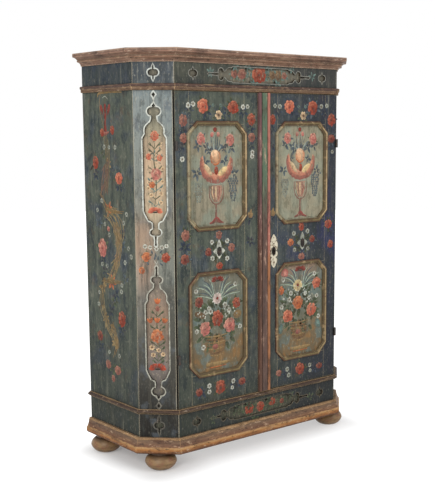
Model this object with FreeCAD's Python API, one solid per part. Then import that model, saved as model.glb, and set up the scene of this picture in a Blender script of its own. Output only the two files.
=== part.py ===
"""Painted two-door armoire with canted front corners, bun feet and fret-cut boards.

Millimetres, +Z up, the front looks along -Y. The origin is the middle of the floor under the
whole cupboard, cornice included. Each sub-part is one file in parts/.
"""
import FreeCAD, Part
import math
import os
from FreeCAD import Rotation, Vector

# ---------------------------------------------------------------- driving dimensions
# Body, without mouldings
body_width = 1222.0
body_depth = 539.0
cant = 127.0  # each corner is cut off by this much along the front and along the side

# Heights of the zones, from the floor up
foot_height = 80.0
base_moulding_height = 72.0
plinth_height = 108.0
lower_band_height = 21.0
door_zone_height = 1396.0
upper_band_height = 28.0
frieze_height = 90.0
cornice_height = 55.0

# How far each moulding stands out from the body
base_overhang = 29.0
lower_band_overhang = 17.0
upper_band_overhang = 14.0
cornice_overhang = 47.0
mitre_room = 5.0  # beyond a profile on each side, where its lengths are cut to the mitre

# Boards
side_thickness = 24.0
fret_thickness = 9.0
door_thickness = 28.0
back_thickness = 16.0
back_board_count = 5
back_board_gap = 0.6
back_rebate = 12.0
floor_thickness = 24.0
cabinet_floor_thickness = 22.0
cabinet_floor_drop = 2.0  # below the top edge of the lower band
top_thickness = 24.0
shelf_thickness = 20.0
shelf_count = 3
shelf_setback = 46.0  # from the back of the closed doors to the front edge of a shelf
post_width = 34.0
post_depth = 40.0
rail_depth = 26.0
head_rail_height = 45.0
sill_rail_height = 26.0
cleat_width = 20.0
cleat_height = 30.0
cleat_length = 260.0

# Bun feet
foot_radius = 72.0
foot_neck_radius = 46.0
foot_neck_step = 4.0
foot_neck_height = 8.0
foot_sole_radius = 32.0
foot_tenon_radius = 14.0
foot_tenon_below_floor = 2.0
foot_roundness = 0.30
foot_inset = 29.0  # foot centre behind the canted face or the side above it
rear_foot_from_back = 82.0

# Doors
hinge_gap = 6.0
meeting_gap = 2.5
door_top_gap = 2.5
door_bottom_gap = 2.5
stop_gap = 0.8
hinge_stile_face = 61.0  # from its edge to the panel moulding
meeting_stile_face = 87.0  # from the panel moulding to the middle of the cupboard
top_rail_face = 127.0
middle_rail_face = 182.0
bottom_rail_face = 121.0
lower_panel_height = 480.0  # over the outside of its moulding
panel_chamfer = 53.0
panel_thickness = 10.0
panel_recess = 8.0
groove_depth = 9.0
tenon_thickness = 9.0
tenon_length = 34.0
tenon_shoulder = 12.0
panel_moulding_lap = 14.0  # on the frame
panel_moulding_lip = 6.0  # over the panel
panel_moulding_height = 9.0
drop_radius = 10.0
drop_point = 18.0
drop_below_rail_middle = 3.5
drop_toward_middle = 5.0

# Batten on the right leaf
batten_width = 66.0
batten_thickness = 16.0
batten_bead = 15.0
batten_fillet = 2.0
batten_fascia_sink = 3.0
batten_left_of_middle = 20.0  # its left edge, level with the edge of the right leaf

# Fretwork
fret_half_width = 50.0
upper_fret_drop = 0.2557 * door_zone_height  # middle of the upper opening, below the upper band
lower_fret_rise = 0.2335 * door_zone_height  # middle of the lower opening, above the lower band
upper_fret_margin = 55.0  # from the tip of the upper opening to the upper band
lower_fret_margin = 47.0
fret_neck = 10.5
fret_top_shoulder = 84.0
fret_foot_shoulder = 60.0
fret_top_neck = 14.0
fret_foot_neck = 23.0
point_lobe_radius = 17.0
slot_lobe_radius = 13.0
fret_point = 34.0
fret_slot = 60.0
fret_slot_width = 7.0
top_diamond_inset = 19.0
foot_diamond_inset = 16.0
fret_diamond_width = 15.0
fret_diamond_height = 22.0
frieze_field_half = 162.0
frieze_half_width = 33.0
frieze_shoulder = 52.0
frieze_neck = 4.0
frieze_lobe_radius = 14.0
frieze_slot = 72.0
ornament_from_middle = 384.0
ornament_lobe_radius = 13.0
ornament_point_width = 15.0
ornament_point = 27.0
ornament_slot = 46.0
frieze_ornament_share = 0.38  # of the frieze, from its middle to each point

# Hinges
knuckle_radius = 6.0
knuckle_height = 20.0
hinge_pin_radius = 3.25
hinge_axis_inset = 3.0  # from the door's edge, in over the leaf
hinge_strap_thickness = 1.9
knuckle_stand_off = 0.5
hinge_pin_inset = 1.0
pin_clearance = 0.05
hinge_leaf_thickness = 2.2
hinge_leaf_depth = 24.0
upper_hinge_below_top = 232.0
lower_hinge_above_bottom = 222.0

# Lock, escutcheon and bolts
keyhole_from_meeting_edge = 96.0
keyhole_below_rail_middle = 30.0
keyhole_radius = 8.5
keyhole_slot = 16.0
keyhole_slot_width = 8.0
lock_width = 110.0
lock_height = 90.0
lock_depth = 24.0
lock_from_meeting_edge = 5.5
lock_bolt_width = 14.0
lock_bolt_thickness = 8.0
lock_bolt_length = 62.0
lock_bolt_rise = 20.0
lock_bolt_inset = 1.0
lock_bolt_end_room = 2.0
keeper_width = 26.0
keeper_wall = 8.0
keeper_from_edge = 4.5
keeper_end_wall = 3.0
escutcheon_length = 160.0
escutcheon_half_width = 24.0
escutcheon_thickness = 2.0
escutcheon_hole_radius = 2.6
bolt_width = 13.0
bolt_thickness = 6.0
bolt_length = 150.0
bolt_travel = 20.0
bolt_rest_gap = 2.0
bolt_from_edge = 36.0
bolt_plate_thickness = 2.5
bolt_plate_width = 30.0
bolt_plate_length = 112.0
bolt_plate_setback = 12.0
staple_height = 10.0
staple_wall = 3.0
staple_from_end = 4.0
bolt_knob_radius = 5.0
bolt_knob_length = 12.0
bolt_knob_root = 1.0

# Clearances
joint_clearance = 0.2
slide_clearance = 0.3
shelf_clearance = 0.8
run_past = 1.0  # how far a cut runs on past the wood

# ---------------------------------------------------------------- levels and planes
base_bottom = foot_height
plinth_bottom = base_bottom + base_moulding_height
lower_band_bottom = plinth_bottom + plinth_height
lower_band_top = lower_band_bottom + lower_band_height
upper_band_bottom = lower_band_top + door_zone_height
upper_band_top = upper_band_bottom + upper_band_height
cornice_bottom = upper_band_top + frieze_height
total_height = cornice_bottom + cornice_height
boards_bottom = base_bottom + floor_thickness
boards_top = total_height - top_thickness

total_depth = body_depth + cornice_overhang
back_y = total_depth / 2
front_y = back_y - body_depth
half_width = body_width / 2
corner_x = half_width - cant  # half the flat front between the canted corners
door_back = front_y + door_thickness
stop_y = door_back + stop_gap
ground_thickness = door_thickness + stop_gap - fret_thickness
lined_thickness = fret_thickness + ground_thickness
back_face = back_y - back_thickness

door_bottom = lower_band_top + door_bottom_gap
door_top = upper_band_bottom - door_top_gap
lower_panel_bottom = door_bottom + bottom_rail_face
lower_panel_top = lower_panel_bottom + lower_panel_height
upper_panel_bottom = lower_panel_top + middle_rail_face
upper_panel_top = door_top - top_rail_face
rail_middle = (lower_panel_top + upper_panel_bottom) / 2
keyhole_z = rail_middle - keyhole_below_rail_middle

cabinet_floor_top = lower_band_top - cabinet_floor_drop
cabinet_floor_bottom = cabinet_floor_top - cabinet_floor_thickness
sill_top = cabinet_floor_top + sill_rail_height
head_bottom = upper_band_bottom - head_rail_height / 2
right_leaf_edge = -batten_left_of_middle
left_leaf_edge = right_leaf_edge - meeting_gap

LOBE_STEP = 0.9  # from the end of a neck to the middle of its lobes, in lobe radii
point_run = LOBE_STEP * point_lobe_radius + fret_point
upper_field_half = (upper_fret_drop - upper_fret_margin
                    - fret_top_shoulder - fret_top_neck - point_run)
lower_field_half = (lower_fret_rise - lower_fret_margin
                    - fret_foot_shoulder - fret_foot_neck - point_run)
SLOPE = math.tan(math.radians(22.5))  # shift of a cant corner along the board, per mm out
DIAGONAL = math.sqrt(0.5)
CHAMFER_GROWTH = 2 - math.sqrt(2)  # of an octagon's short side, for each mm outwards
FRONT = Rotation(Vector(1, 0, 0), Vector(0, 0, 1), Vector(0, -1, 0), "XYZ")
FRONT_LYING = Rotation(Vector(0, 0, -1), Vector(1, 0, 0), Vector(0, -1, 0), "XYZ")
QUARTER_TURN = Rotation(Vector(0, 0, 1), 90)
LEFT_CANT = Rotation(
    Vector(DIAGONAL, -DIAGONAL, 0), Vector(0, 0, 1), Vector(-DIAGONAL, -DIAGONAL, 0), "XYZ"
)


# ---------------------------------------------------------------- helpers
def block(x, y, z):
    """A box between the two ends of each range, which may come in either order."""
    low = Vector(min(x), min(y), min(z))
    size = [abs(ends[1] - ends[0]) for ends in (x, y, z)]
    return Part.makeBox(size[0], size[1], size[2], low)


def prism(points, low, high):
    """A plan outline of (x, y) points, raised from one height to the other."""
    corners = [Vector(x, y, low) for x, y in points]
    return Part.Face(Part.makePolygon(corners + corners[:1])).extrude(Vector(0, 0, high - low))


def outline_face(start, segments, across, up):
    """A face from (a, b) points joined by lines or, where a bulge is given, by arcs.

    The bulge is the tangent of a quarter of the arc's angle: positive turns left, 1 is a half
    circle. across and up turn a point's two numbers into a place.
    """
    def place(point):
        return across * point[0] + up * point[1]

    edges = []
    here = start
    for there, bulge in segments:
        if bulge:
            middle = (
                (here[0] + there[0]) / 2 + bulge * (there[1] - here[1]) / 2,
                (here[1] + there[1]) / 2 - bulge * (there[0] - here[0]) / 2,
            )
            edges.append(Part.Arc(place(here), place(middle), place(there)).toShape())
        else:
            edges.append(Part.makeLine(place(here), place(there)))
        here = there
    if here != start:
        edges.append(Part.makeLine(place(here), place(start)))
    return Part.Face(Part.Wire(edges))


def placed(shape, rotation, origin):
    """The shape turned and then moved so that its own origin lands on origin."""
    moved = shape.copy()
    moved.Placement = FreeCAD.Placement(origin, rotation) * shape.Placement
    return moved


def mirrored(shape):
    return shape.mirror(Vector(0, 0, 0), Vector(1, 0, 0))


def plan_corners(out):
    """Footprint corners moved outwards by out: back left, round the front, to back right."""
    left = [
        (-half_width - out, back_y),
        (-half_width - out, front_y + cant - out * SLOPE),
        (-corner_x - out * SLOPE, front_y - out),
    ]
    return left + [(-x, y) for x, y in reversed(left)]


def inner_corners(side, lining, front, back):
    """Corners of the space left inside boards of these thicknesses."""
    cant_line = -corner_x + front_y + lining / DIAGONAL  # x + y on the cant's inner face
    left = [
        (-half_width + side, back_y - back),
        (-half_width + side, cant_line + half_width - side),
        (cant_line - front_y - front, front_y + front),
    ]
    return left + [(-x, y) for x, y in reversed(left)]


def mitred_lengths(corners, runs, profile, reach, low, high):
    """Lengths of one profile along a run of corners, mitred where they meet.

    corners(out) gives the corners moved outwards by out, profile is a start and segments in
    (out, height), and reach is (least out, most out) with room to spare.
    """
    lengths = []
    edge = corners(0.0)
    inner, outer = corners(reach[0]), corners(reach[1])
    for index in range(runs):
        after = (index + 1) % len(edge)
        begin, end = Vector(*edge[index], 0), Vector(*edge[after], 0)
        along = (end - begin).normalize()
        outward = Vector(along.y, -along.x, 0)
        spare = 2 * max(abs(reach[0]), abs(reach[1]))
        section = outline_face(profile[0], profile[1], outward, Vector(0, 0, 1))
        section.translate(begin - along * spare)
        bar = section.extrude(along * ((end - begin).Length + 2 * spare))
        wedge = prism([inner[index], outer[index], outer[after], inner[after]], low, high)
        lengths.append(bar.common(wedge).Solids[0])
    return Part.makeCompound(lengths)


def ring_moulding(bottom, overhang, height, segments):
    """One moulding that runs round the sides, the canted corners and the front.

    The segments of its profile are drawn in a unit square, up from the corner on the boards.
    """
    profile = ((0, 0), [((out * overhang, up * height), bulge) for (out, up), bulge in segments])
    ring = mitred_lengths(plan_corners, 5, profile, (-mitre_room, overhang + mitre_room),
                          -run_past, height + run_past)
    ring.translate(Vector(0, 0, bottom))
    return ring


# ---------------------------------------------------------------- fretwork
# Openings are drawn in their own frame: x across, y along, z out of the board.
def cutter(face):
    """A cutter that goes through a fret board from just before its face to just behind it."""
    tool = face.extrude(Vector(0, 0, fret_thickness + 2 * run_past))
    tool.translate(Vector(0, 0, -fret_thickness - run_past))
    return tool


def flat_outline(start, segments):
    return outline_face(start, segments, Vector(1, 0, 0), Vector(0, 1, 0))


def diamond(middle, width, height):
    return cutter(flat_outline((width / 2, middle), [
        ((0, middle + height / 2), 0),
        ((-width / 2, middle), 0),
        ((0, middle - height / 2), 0),
    ]))


def lobes(middle, radius, width_share=0.7):
    """Two round lobes side by side, which run into each other on the middle line."""
    tools = []
    for side in (-1, 1):
        disc = Part.Circle(Vector(side * radius * width_share, middle, 0), Vector(0, 0, 1), radius)
        tools.append(cutter(Part.Face(Part.Wire(disc.toShape()))))
    return tools


# Each shoulder is a list of steps from the field's corner to the neck: how much of the widening
# is left, how far along the shoulder, and how much the line bulges outwards on the way.
TOP_SHOULDER = ((0.72, 0.22, 0.0), (0.67, 0.57, 0.16), (0.12, 0.82, 0.10), (0.0, 1.0, -0.08))
FOOT_SHOULDER = ((0.47, 0.72, 0.05), (0.06, 0.86, -0.16), (0.0, 1.0, 0.0))


def ogee_field(wide, low, high):
    """The wide field, drawn in to a neck at each end.

    low and high each give the end of the field, the shoulder's steps and length, and the
    straight length of the neck.
    """
    def quarter(side, end, corner, steps, shoulder, neck):
        """From the field's corner to the end of the neck, on one side."""
        path = []
        for share, along, bulge in steps:
            across = side * (fret_neck + share * (wide - fret_neck))
            path.append(((across, corner + end * shoulder * along), bulge * side * end))
        path.append(((side * fret_neck, corner + end * (shoulder + neck)), 0))
        return path

    def backwards(start, segments):
        """The same line drawn from its far end."""
        points = [start] + [point for point, bulge in segments]
        bulges = [-bulge for point, bulge in segments]
        return [(points[i], bulges[i]) for i in range(len(bulges) - 1, -1, -1)]

    path = quarter(1, 1, *high)
    path.append(((-fret_neck, path[-1][0][1]), 0))
    path += backwards((-wide, high[0]), quarter(-1, 1, *high))
    path.append(((-wide, low[0]), 0))
    path += quarter(-1, -1, *low)
    path.append(((fret_neck, path[-1][0][1]), 0))
    path += backwards((wide, low[0]), quarter(1, -1, *low))
    return cutter(flat_outline((wide, high[0]), path))


def throat(level, heart):
    """The neck run on to the middle of the lobes."""
    return cutter(flat_outline((fret_neck, level), [
        ((fret_neck, heart), 0),
        ((-fret_neck, heart), 0),
        ((-fret_neck, level), 0),
    ]))


def point_end(level, direction, radius, length):
    """Lobes beyond the neck, closed by a short point."""
    heart = level + direction * radius * LOBE_STEP
    tip = heart + direction * length
    wide, base = radius * 0.42, heart + direction * radius * 0.6
    shoulder = heart + direction * length * 0.72
    point = cutter(flat_outline((wide, base), [
        ((wide, shoulder), 0),
        ((0, tip), -0.08 * direction),
        ((-wide, shoulder), -0.08 * direction),
        ((-wide, base), 0),
    ]))
    return lobes(heart, radius, 0.65) + [throat(level, heart), point]


def slot_end(level, direction, radius, length):
    """Lobes beyond the neck, with a narrow slot running on from them to a small bulb."""
    heart = level + direction * radius * LOBE_STEP
    wide = fret_slot_width / 2

    def at(share):
        return heart + direction * length * share

    half = [(1.4, 0.0), (1.4, 0.28), (0.75, 0.55), (0.75, 0.80), (1.25, 0.90)]
    path = [((wide * share, at(along)), 0) for share, along in half]
    path += [((0, at(1.0)), 0)]
    path += [((-wide * share, at(along)), 0) for share, along in reversed(half)]
    slot = cutter(flat_outline(path[0][0], path[1:]))
    return lobes(heart, radius, 0.8) + [throat(level, heart), slot]


def tall_opening(middle, field_half, ends):
    """A tall opening of a canted corner. ends says how its foot and its top are finished."""
    low, high = middle - field_half, middle + field_half
    tools = [ogee_field(
        fret_half_width,
        (low, FOOT_SHOULDER, fret_foot_shoulder, fret_foot_neck),
        (high, TOP_SHOULDER, fret_top_shoulder, fret_top_neck),
    )]
    levels = low - fret_foot_shoulder - fret_foot_neck, high + fret_top_shoulder + fret_top_neck
    for level, direction, end in zip(levels, (-1, 1), ends):
        if end == "point":
            tools += point_end(level, direction, point_lobe_radius, fret_point)
        else:
            tools += slot_end(level, direction, slot_lobe_radius, fret_slot)
    return tools


def lying_opening():
    """The long opening in the middle of the frieze and of the plinth."""
    ends = [(end * frieze_field_half, TOP_SHOULDER, frieze_shoulder, frieze_neck) for end in (-1, 1)]
    tools = [ogee_field(frieze_half_width, *ends)]
    for direction in (-1, 1):
        level = direction * (frieze_field_half + frieze_shoulder + frieze_neck)
        tools += slot_end(level, direction, frieze_lobe_radius, frieze_slot)
    return tools


def small_ornament(middle, reach):
    """Two lobes with a point above and below them."""
    return lobes(middle, ornament_lobe_radius) + [
        diamond(middle, ornament_point_width, 2 * reach)
    ]


def with_openings(board, tools, rotation, origin):
    return board.cut([placed(tool, rotation, origin) for tool in tools])


# ---------------------------------------------------------------- feet and base
def bun_foot():
    """A flattened turned ball with a short neck and a round tenon on top."""
    belly = (foot_height - foot_neck_height) / 2
    shoulder = foot_height - foot_neck_height
    tenon_top = foot_height + floor_thickness - foot_tenon_below_floor
    profile = outline_face((0, 0), [
        ((foot_sole_radius, 0), 0),
        ((foot_radius, belly), foot_roundness),
        ((foot_neck_radius - foot_neck_step, shoulder), foot_roundness),
        ((foot_neck_radius, shoulder), 0),
        ((foot_neck_radius, foot_height), 0),
        ((foot_tenon_radius, foot_height), 0),
        ((foot_tenon_radius, tenon_top), 0),
        ((0, tenon_top), 0),
    ], Vector(1, 0, 0), Vector(0, 0, 1))
    return profile.revolve(Vector(0, 0, 0), Vector(0, 0, 1), 360)


front_foot_step = cant / 2 + foot_inset * DIAGONAL
foot_places = {
    "foot_front_left": (-half_width + front_foot_step, front_y + front_foot_step),
    "foot_front_right": (half_width - front_foot_step, front_y + front_foot_step),
    "foot_rear_left": (-half_width + foot_inset, back_y - rear_foot_from_back),
    "foot_rear_right": (half_width - foot_inset, back_y - rear_foot_from_back),
}

parts = {}
for name, (x, y) in foot_places.items():
    foot = bun_foot()
    foot.translate(Vector(x, y, 0))
    parts[name] = foot

base_floor = prism(plan_corners(0.0), base_bottom, boards_bottom)
for x, y in foot_places.values():
    base_floor = base_floor.cut(Part.makeCylinder(
        foot_tenon_radius + joint_clearance, floor_thickness + 2 * run_past,
        Vector(x, y, base_bottom - run_past),
    ))
parts["base_floor"] = base_floor

# Base: a ledge and a hollow slope over a worn round. Bands: a nosing over a small fillet.
parts["base_moulding"] = ring_moulding(base_bottom, base_overhang, base_moulding_height, [
    ((0.66, 0), 0),
    ((1, 0.20), 0.32),
    ((1, 0.32), 0),
    ((0.90, 0.43), 0.30),
    ((0.83, 0.45), 0),
    ((0.50, 0.90), -0.10),
    ((0.44, 0.92), 0),
    ((0.44, 1), 0),
    ((0, 1), 0),
])
parts["lower_band"] = ring_moulding(lower_band_bottom, lower_band_overhang, lower_band_height, [
    ((0.52, 0), 0),
    ((0.60, 0.22), 0),
    ((0.86, 0.24), 0),
    ((0.88, 0.62), 0.45),
    ((0.32, 0.90), 0.10),
    ((0.32, 1), 0),
    ((0, 1), 0),
])
parts["upper_band"] = ring_moulding(upper_band_bottom, upper_band_overhang, upper_band_height, [
    ((0.45, 0), 0),
    ((0.62, 0.16), 0.30),
    ((0.62, 0.46), 0),
    ((0.72, 0.52), 0),
    ((0.72, 0.96), 0.62),
    ((0.40, 1), 0),
    ((0, 1), 0),
])
# Cornice: cove, bead, hollow and a square top edge.
parts["cornice"] = ring_moulding(cornice_bottom, cornice_overhang, cornice_height, [
    ((0.10, 0), 0),
    ((0.10, 0.06), 0),
    ((0.38, 0.31), -0.25),
    ((0.44, 0.31), 0),
    ((0.44, 0.47), 0.85),
    ((0.52, 0.50), 0),
    ((0.90, 0.68), -0.20),
    ((0.95, 0.68), 0),
    ((1, 0.76), 0.25),
    ((1, 0.94), 0),
    ((0.95, 1), 0.25),
    ((0, 1), 0),
])

# ---------------------------------------------------------------- carcase
left_back, left_corner, left_front = plan_corners(0.0)[:3]
side_inner = inner_corners(side_thickness, lined_thickness, lined_thickness, 0.0)
side_board = prism([left_back, left_corner, side_inner[1], side_inner[0]], boards_bottom, boards_top)
rebate = block(
    (-half_width + side_thickness - back_rebate, -half_width + side_thickness + run_past),
    (back_face, back_y + run_past),
    (boards_bottom - run_past, boards_top + run_past),
)
side_board = side_board.cut(rebate)
parts["left_side"] = side_board
parts["right_side"] = mirrored(side_board)


def cant_layer(outer, inner, bottom, top):
    """A board of the left canted corner between two depths, square to the front at the door."""
    outer_line = -corner_x + front_y + outer / DIAGONAL
    inner_line = -corner_x + front_y + inner / DIAGONAL
    mitre = side_inner[1]
    share_out, share_in = outer / lined_thickness, inner / lined_thickness
    back_out = [left_corner[i] + (mitre[i] - left_corner[i]) * share_out for i in (0, 1)]
    back_in = [left_corner[i] + (mitre[i] - left_corner[i]) * share_in for i in (0, 1)]
    return prism([
        back_out,
        (-corner_x, outer_line + corner_x),
        (-corner_x, inner_line + corner_x),
        back_in,
    ], bottom, top)


# The canted corner is cut back beside the door, which leaves the gap for the hinges.
jamb_rebate = block((-corner_x - hinge_gap, -corner_x + run_past), (front_y - run_past, stop_y),
                    (lower_band_top, upper_band_bottom))
cant_ground = cant_layer(fret_thickness, lined_thickness, boards_bottom, boards_top)
cant_ground = cant_ground.cut(jamb_rebate)
parts["left_cant_ground"] = cant_ground
parts["right_cant_ground"] = mirrored(cant_ground)

cant_middle = Vector(-half_width + cant / 2, front_y + cant / 2, 0)
lower_split = (lower_band_bottom + lower_band_top) / 2
upper_split = (upper_band_bottom + upper_band_top) / 2
plinth_middle = (plinth_bottom + lower_band_bottom) / 2
frieze_middle = (upper_band_top + cornice_bottom) / 2

cant_openings = tall_opening(upper_band_bottom - upper_fret_drop, upper_field_half,
                             ("slot", "point"))
cant_openings += tall_opening(lower_band_top + lower_fret_rise, lower_field_half,
                              ("point", "slot"))
for level in (upper_band_bottom - top_diamond_inset, lower_band_top + foot_diamond_inset):
    cant_openings.append(diamond(level, fret_diamond_width, fret_diamond_height))
cant_fret_boards = [
    with_openings(
        cant_layer(0.0, fret_thickness, boards_bottom, lower_split),
        small_ornament(plinth_middle, ornament_slot), LEFT_CANT, cant_middle,
    ),
    with_openings(
        cant_layer(0.0, fret_thickness, lower_split, upper_split),
        cant_openings, LEFT_CANT, cant_middle,
    ).cut(jamb_rebate),
    with_openings(
        cant_layer(0.0, fret_thickness, upper_split, boards_top),
        small_ornament(frieze_middle, frieze_height * frieze_ornament_share), LEFT_CANT, cant_middle,
    ),
]
left_cant_fret = Part.makeCompound(cant_fret_boards)
parts["left_cant_fret"] = left_cant_fret
parts["right_cant_fret"] = mirrored(left_cant_fret)

post = block((-corner_x, -corner_x + post_width), (stop_y, stop_y + post_depth),
             (boards_bottom, boards_top))
parts["left_door_post"] = post
parts["right_door_post"] = mirrored(post)

front_x = (-corner_x, corner_x)
for label, low, high, middle in (
    ("plinth", boards_bottom, lower_band_top, plinth_middle),
    ("frieze", upper_band_bottom, boards_top, frieze_middle),
):
    parts[label + "_ground"] = block(front_x, (front_y + fret_thickness, stop_y), (low, high))
    openings = lying_opening()
    for direction in (-1, 1):
        openings += [
            placed(tool, QUARTER_TURN, Vector(0, direction * ornament_from_middle, 0))
            for tool in small_ornament(0.0, ornament_point)
        ]
    fret_board = block(front_x, (front_y, front_y + fret_thickness), (low, high))
    parts[label + "_fret"] = with_openings(
        fret_board, openings, FRONT_LYING, Vector(0, front_y, middle)
    )

rail_x = (-corner_x + post_width, corner_x - post_width)
rail_y = (stop_y, stop_y + rail_depth)
head_rail = block(rail_x, rail_y, (head_bottom, head_bottom + head_rail_height))
sill_rail = block(rail_x, rail_y, (cabinet_floor_top, sill_top))

inside = inner_corners(side_thickness, lined_thickness, lined_thickness, back_thickness)
cabinet_floor = prism(inside, cabinet_floor_bottom, cabinet_floor_top)
for one_post in (post, mirrored(post)):
    cabinet_floor = cabinet_floor.cut(one_post)
parts["cabinet_floor"] = cabinet_floor
parts["top_board"] = prism(plan_corners(0.0), boards_top, total_height)

back_left = -half_width + side_thickness - back_rebate
board_pitch = -2 * back_left / back_board_count
back_boards = []
for index in range(back_board_count):
    left = back_left + index * board_pitch
    back_boards.append(block(
        (left + back_board_gap / 2, left + board_pitch - back_board_gap / 2),
        (back_face, back_y),
        (boards_bottom, boards_top),
    ))
parts["back_boards"] = Part.makeCompound(back_boards)

shelf_front = lined_thickness + shelf_setback
shelf_pitch = (boards_top - cabinet_floor_top) / (shelf_count + 1)
shelf_plan = inner_corners(
    side_thickness + shelf_clearance, lined_thickness + shelf_clearance, shelf_front,
    back_thickness + shelf_clearance,
)
cleats = []
for index in range(shelf_count):
    shelf_bottom = cabinet_floor_top + (index + 1) * shelf_pitch - shelf_thickness
    parts["shelf_%d" % (index + 1)] = prism(shelf_plan, shelf_bottom, shelf_bottom + shelf_thickness)
    cleat = block(
        (-half_width + side_thickness, -half_width + side_thickness + cleat_width),
        (back_face - shelf_clearance - cleat_length, back_face - shelf_clearance),
        (shelf_bottom - cleat_height, shelf_bottom),
    )
    cleats += [cleat, mirrored(cleat)]
parts["shelf_cleats"] = Part.makeCompound(cleats)


# ---------------------------------------------------------------- doors
panel_zones = {
    "lower": (lower_panel_bottom, lower_panel_top),
    "upper": (upper_panel_bottom, upper_panel_top),
}
hinge_edge = -corner_x  # of the left leaf
panel_left = hinge_edge + hinge_stile_face
panel_width = -meeting_stile_face - panel_left
panel_middle = panel_left + panel_width / 2
sight_chamfer = panel_chamfer - panel_moulding_lap * CHAMFER_GROWTH
panel_y = front_y + panel_recess
groove_y = (panel_y - joint_clearance, panel_y + panel_thickness + joint_clearance)
tenon_y = (groove_y[0], groove_y[0] + tenon_thickness)


def octagon(half_across, half_up, leg):
    """Corners of a rectangle with cut-off corners, moved outwards by out."""
    def corners(out):
        across, up = half_across + out, half_up + out
        cut = leg + out * CHAMFER_GROWTH
        right = [(across - cut, -up), (across, -up + cut), (across, up - cut), (across - cut, up)]
        left = [(-across + cut, up), (-across, up - cut), (-across, -up + cut)]
        return [(-across + cut, -up)] + right + left
    return corners


def panel_moulding(bottom, top):
    """Eight mitred lengths round one panel, seated on the frame and lipped over the panel."""
    lap, lip, height = panel_moulding_lap, panel_moulding_lip, panel_moulding_height
    corners = octagon(panel_width / 2 - lap, (top - bottom) / 2 - lap, sight_chamfer)
    foot = -panel_recess + slide_clearance
    profile = ((lap, 0), [
        ((lap, height * 0.30), 0),
        ((lap * 0.55, height), 0.35),
        ((lap * 0.25, height), 0),
        ((-lip * 0.7, height * 0.25), -0.30),
        ((-lip, height * 0.20), 0),
        ((-lip, foot), 0),
        ((-joint_clearance, foot), 0),
        ((-joint_clearance, 0), 0),
    ])
    ring = mitred_lengths(
        corners, 8, profile, (-lip - run_past, lap + run_past), foot - run_past, height + run_past
    )
    return placed(ring, FRONT, Vector(panel_middle, front_y, (bottom + top) / 2))


def tenoned_rail(bottom, top, left, right):
    rail = block((left, right), (front_y, door_back), (bottom, top))
    for edge, direction in ((left, -1), (right, 1)):
        tenon = block((edge, edge + direction * tenon_length), tenon_y,
                      (bottom + tenon_shoulder, top - tenon_shoulder))
        rail = rail.fuse(tenon)
    return rail.removeSplitter()


def mortise(bottom, top, edge, direction):
    spare = joint_clearance
    return block(
        (edge - direction * run_past, edge + direction * (tenon_length + spare)),
        (tenon_y[0] - spare, tenon_y[1] + spare),
        (bottom + tenon_shoulder - spare, top - tenon_shoulder + spare),
    )


def drop_hole(x, z):
    """A round hole with a pointed top, through the middle rail."""
    depth = door_thickness + 2 * run_past
    start = Vector(x, front_y - run_past, z)
    disc = Part.makeCylinder(drop_radius, depth, start, Vector(0, 1, 0))
    half = drop_radius * math.cos(math.radians(30))
    rise = drop_radius * math.sin(math.radians(30))
    face = outline_face((half, rise), [
        ((0, drop_point), -0.12),
        ((-half, rise), -0.12),
    ], Vector(1, 0, 0), Vector(0, 0, 1))
    face.translate(start)
    return disc.fuse(face.extrude(Vector(0, depth, 0)))


def door_leaf(meeting_edge):
    """The woodwork of a leaf hung on the left, out to its meeting edge."""
    opening = (panel_left + panel_moulding_lap, panel_left + panel_width - panel_moulding_lap)
    door_y = (front_y, door_back)
    sight = {
        label: (bottom + panel_moulding_lap, top - panel_moulding_lap)
        for label, (bottom, top) in panel_zones.items()
    }
    rails = {
        "bottom_rail": (door_bottom, sight["lower"][0]),
        "middle_rail": (sight["lower"][1], sight["upper"][0]),
        "top_rail": (sight["upper"][1], door_top),
    }
    leaf = {
        "hinge_stile": block((hinge_edge, opening[0]), door_y, (door_bottom, door_top)),
        "meeting_stile": block((opening[1], meeting_edge), door_y, (door_bottom, door_top)),
    }
    for label, (bottom, top) in rails.items():
        leaf[label] = tenoned_rail(bottom, top, *opening)
        leaf["hinge_stile"] = leaf["hinge_stile"].cut(mortise(bottom, top, opening[0], -1))
        leaf["meeting_stile"] = leaf["meeting_stile"].cut(mortise(bottom, top, opening[1], 1))
    leaf["middle_rail"] = leaf["middle_rail"].cut(
        drop_hole(panel_middle + drop_toward_middle, rail_middle - drop_below_rail_middle)
    )

    blocks = []
    for label, (bottom, top) in sight.items():
        groove = block((opening[0] - groove_depth, opening[1] + groove_depth), groove_y,
                       (bottom - groove_depth, top + groove_depth))
        for piece in ("hinge_stile", "meeting_stile", "bottom_rail", "middle_rail", "top_rail"):
            leaf[piece] = leaf[piece].cut(groove)
        held = groove_depth - joint_clearance
        leaf[label + "_panel"] = block(
            (opening[0] - held, opening[1] + held),
            (panel_y, panel_y + panel_thickness),
            (bottom - held, top + held),
        )
        for x, inward in ((opening[0], 1), (opening[1], -1)):
            for z, upward in ((bottom, 1), (top, -1)):
                face = outline_face((x, z), [
                    ((x + inward * sight_chamfer, z), 0),
                    ((x, z + upward * sight_chamfer), 0),
                ], Vector(1, 0, 0), Vector(0, 0, 1))
                face.translate(Vector(0, front_y, 0))
                blocks.append(face.extrude(Vector(0, panel_recess - joint_clearance, 0)))
        leaf[label + "_moulding"] = panel_moulding(*panel_zones[label])
    leaf["corner_blocks"] = Part.makeCompound(blocks)
    return leaf


left_leaf = door_leaf(left_leaf_edge)
right_leaf = {name: mirrored(shape) for name, shape in door_leaf(-right_leaf_edge).items()}

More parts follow.
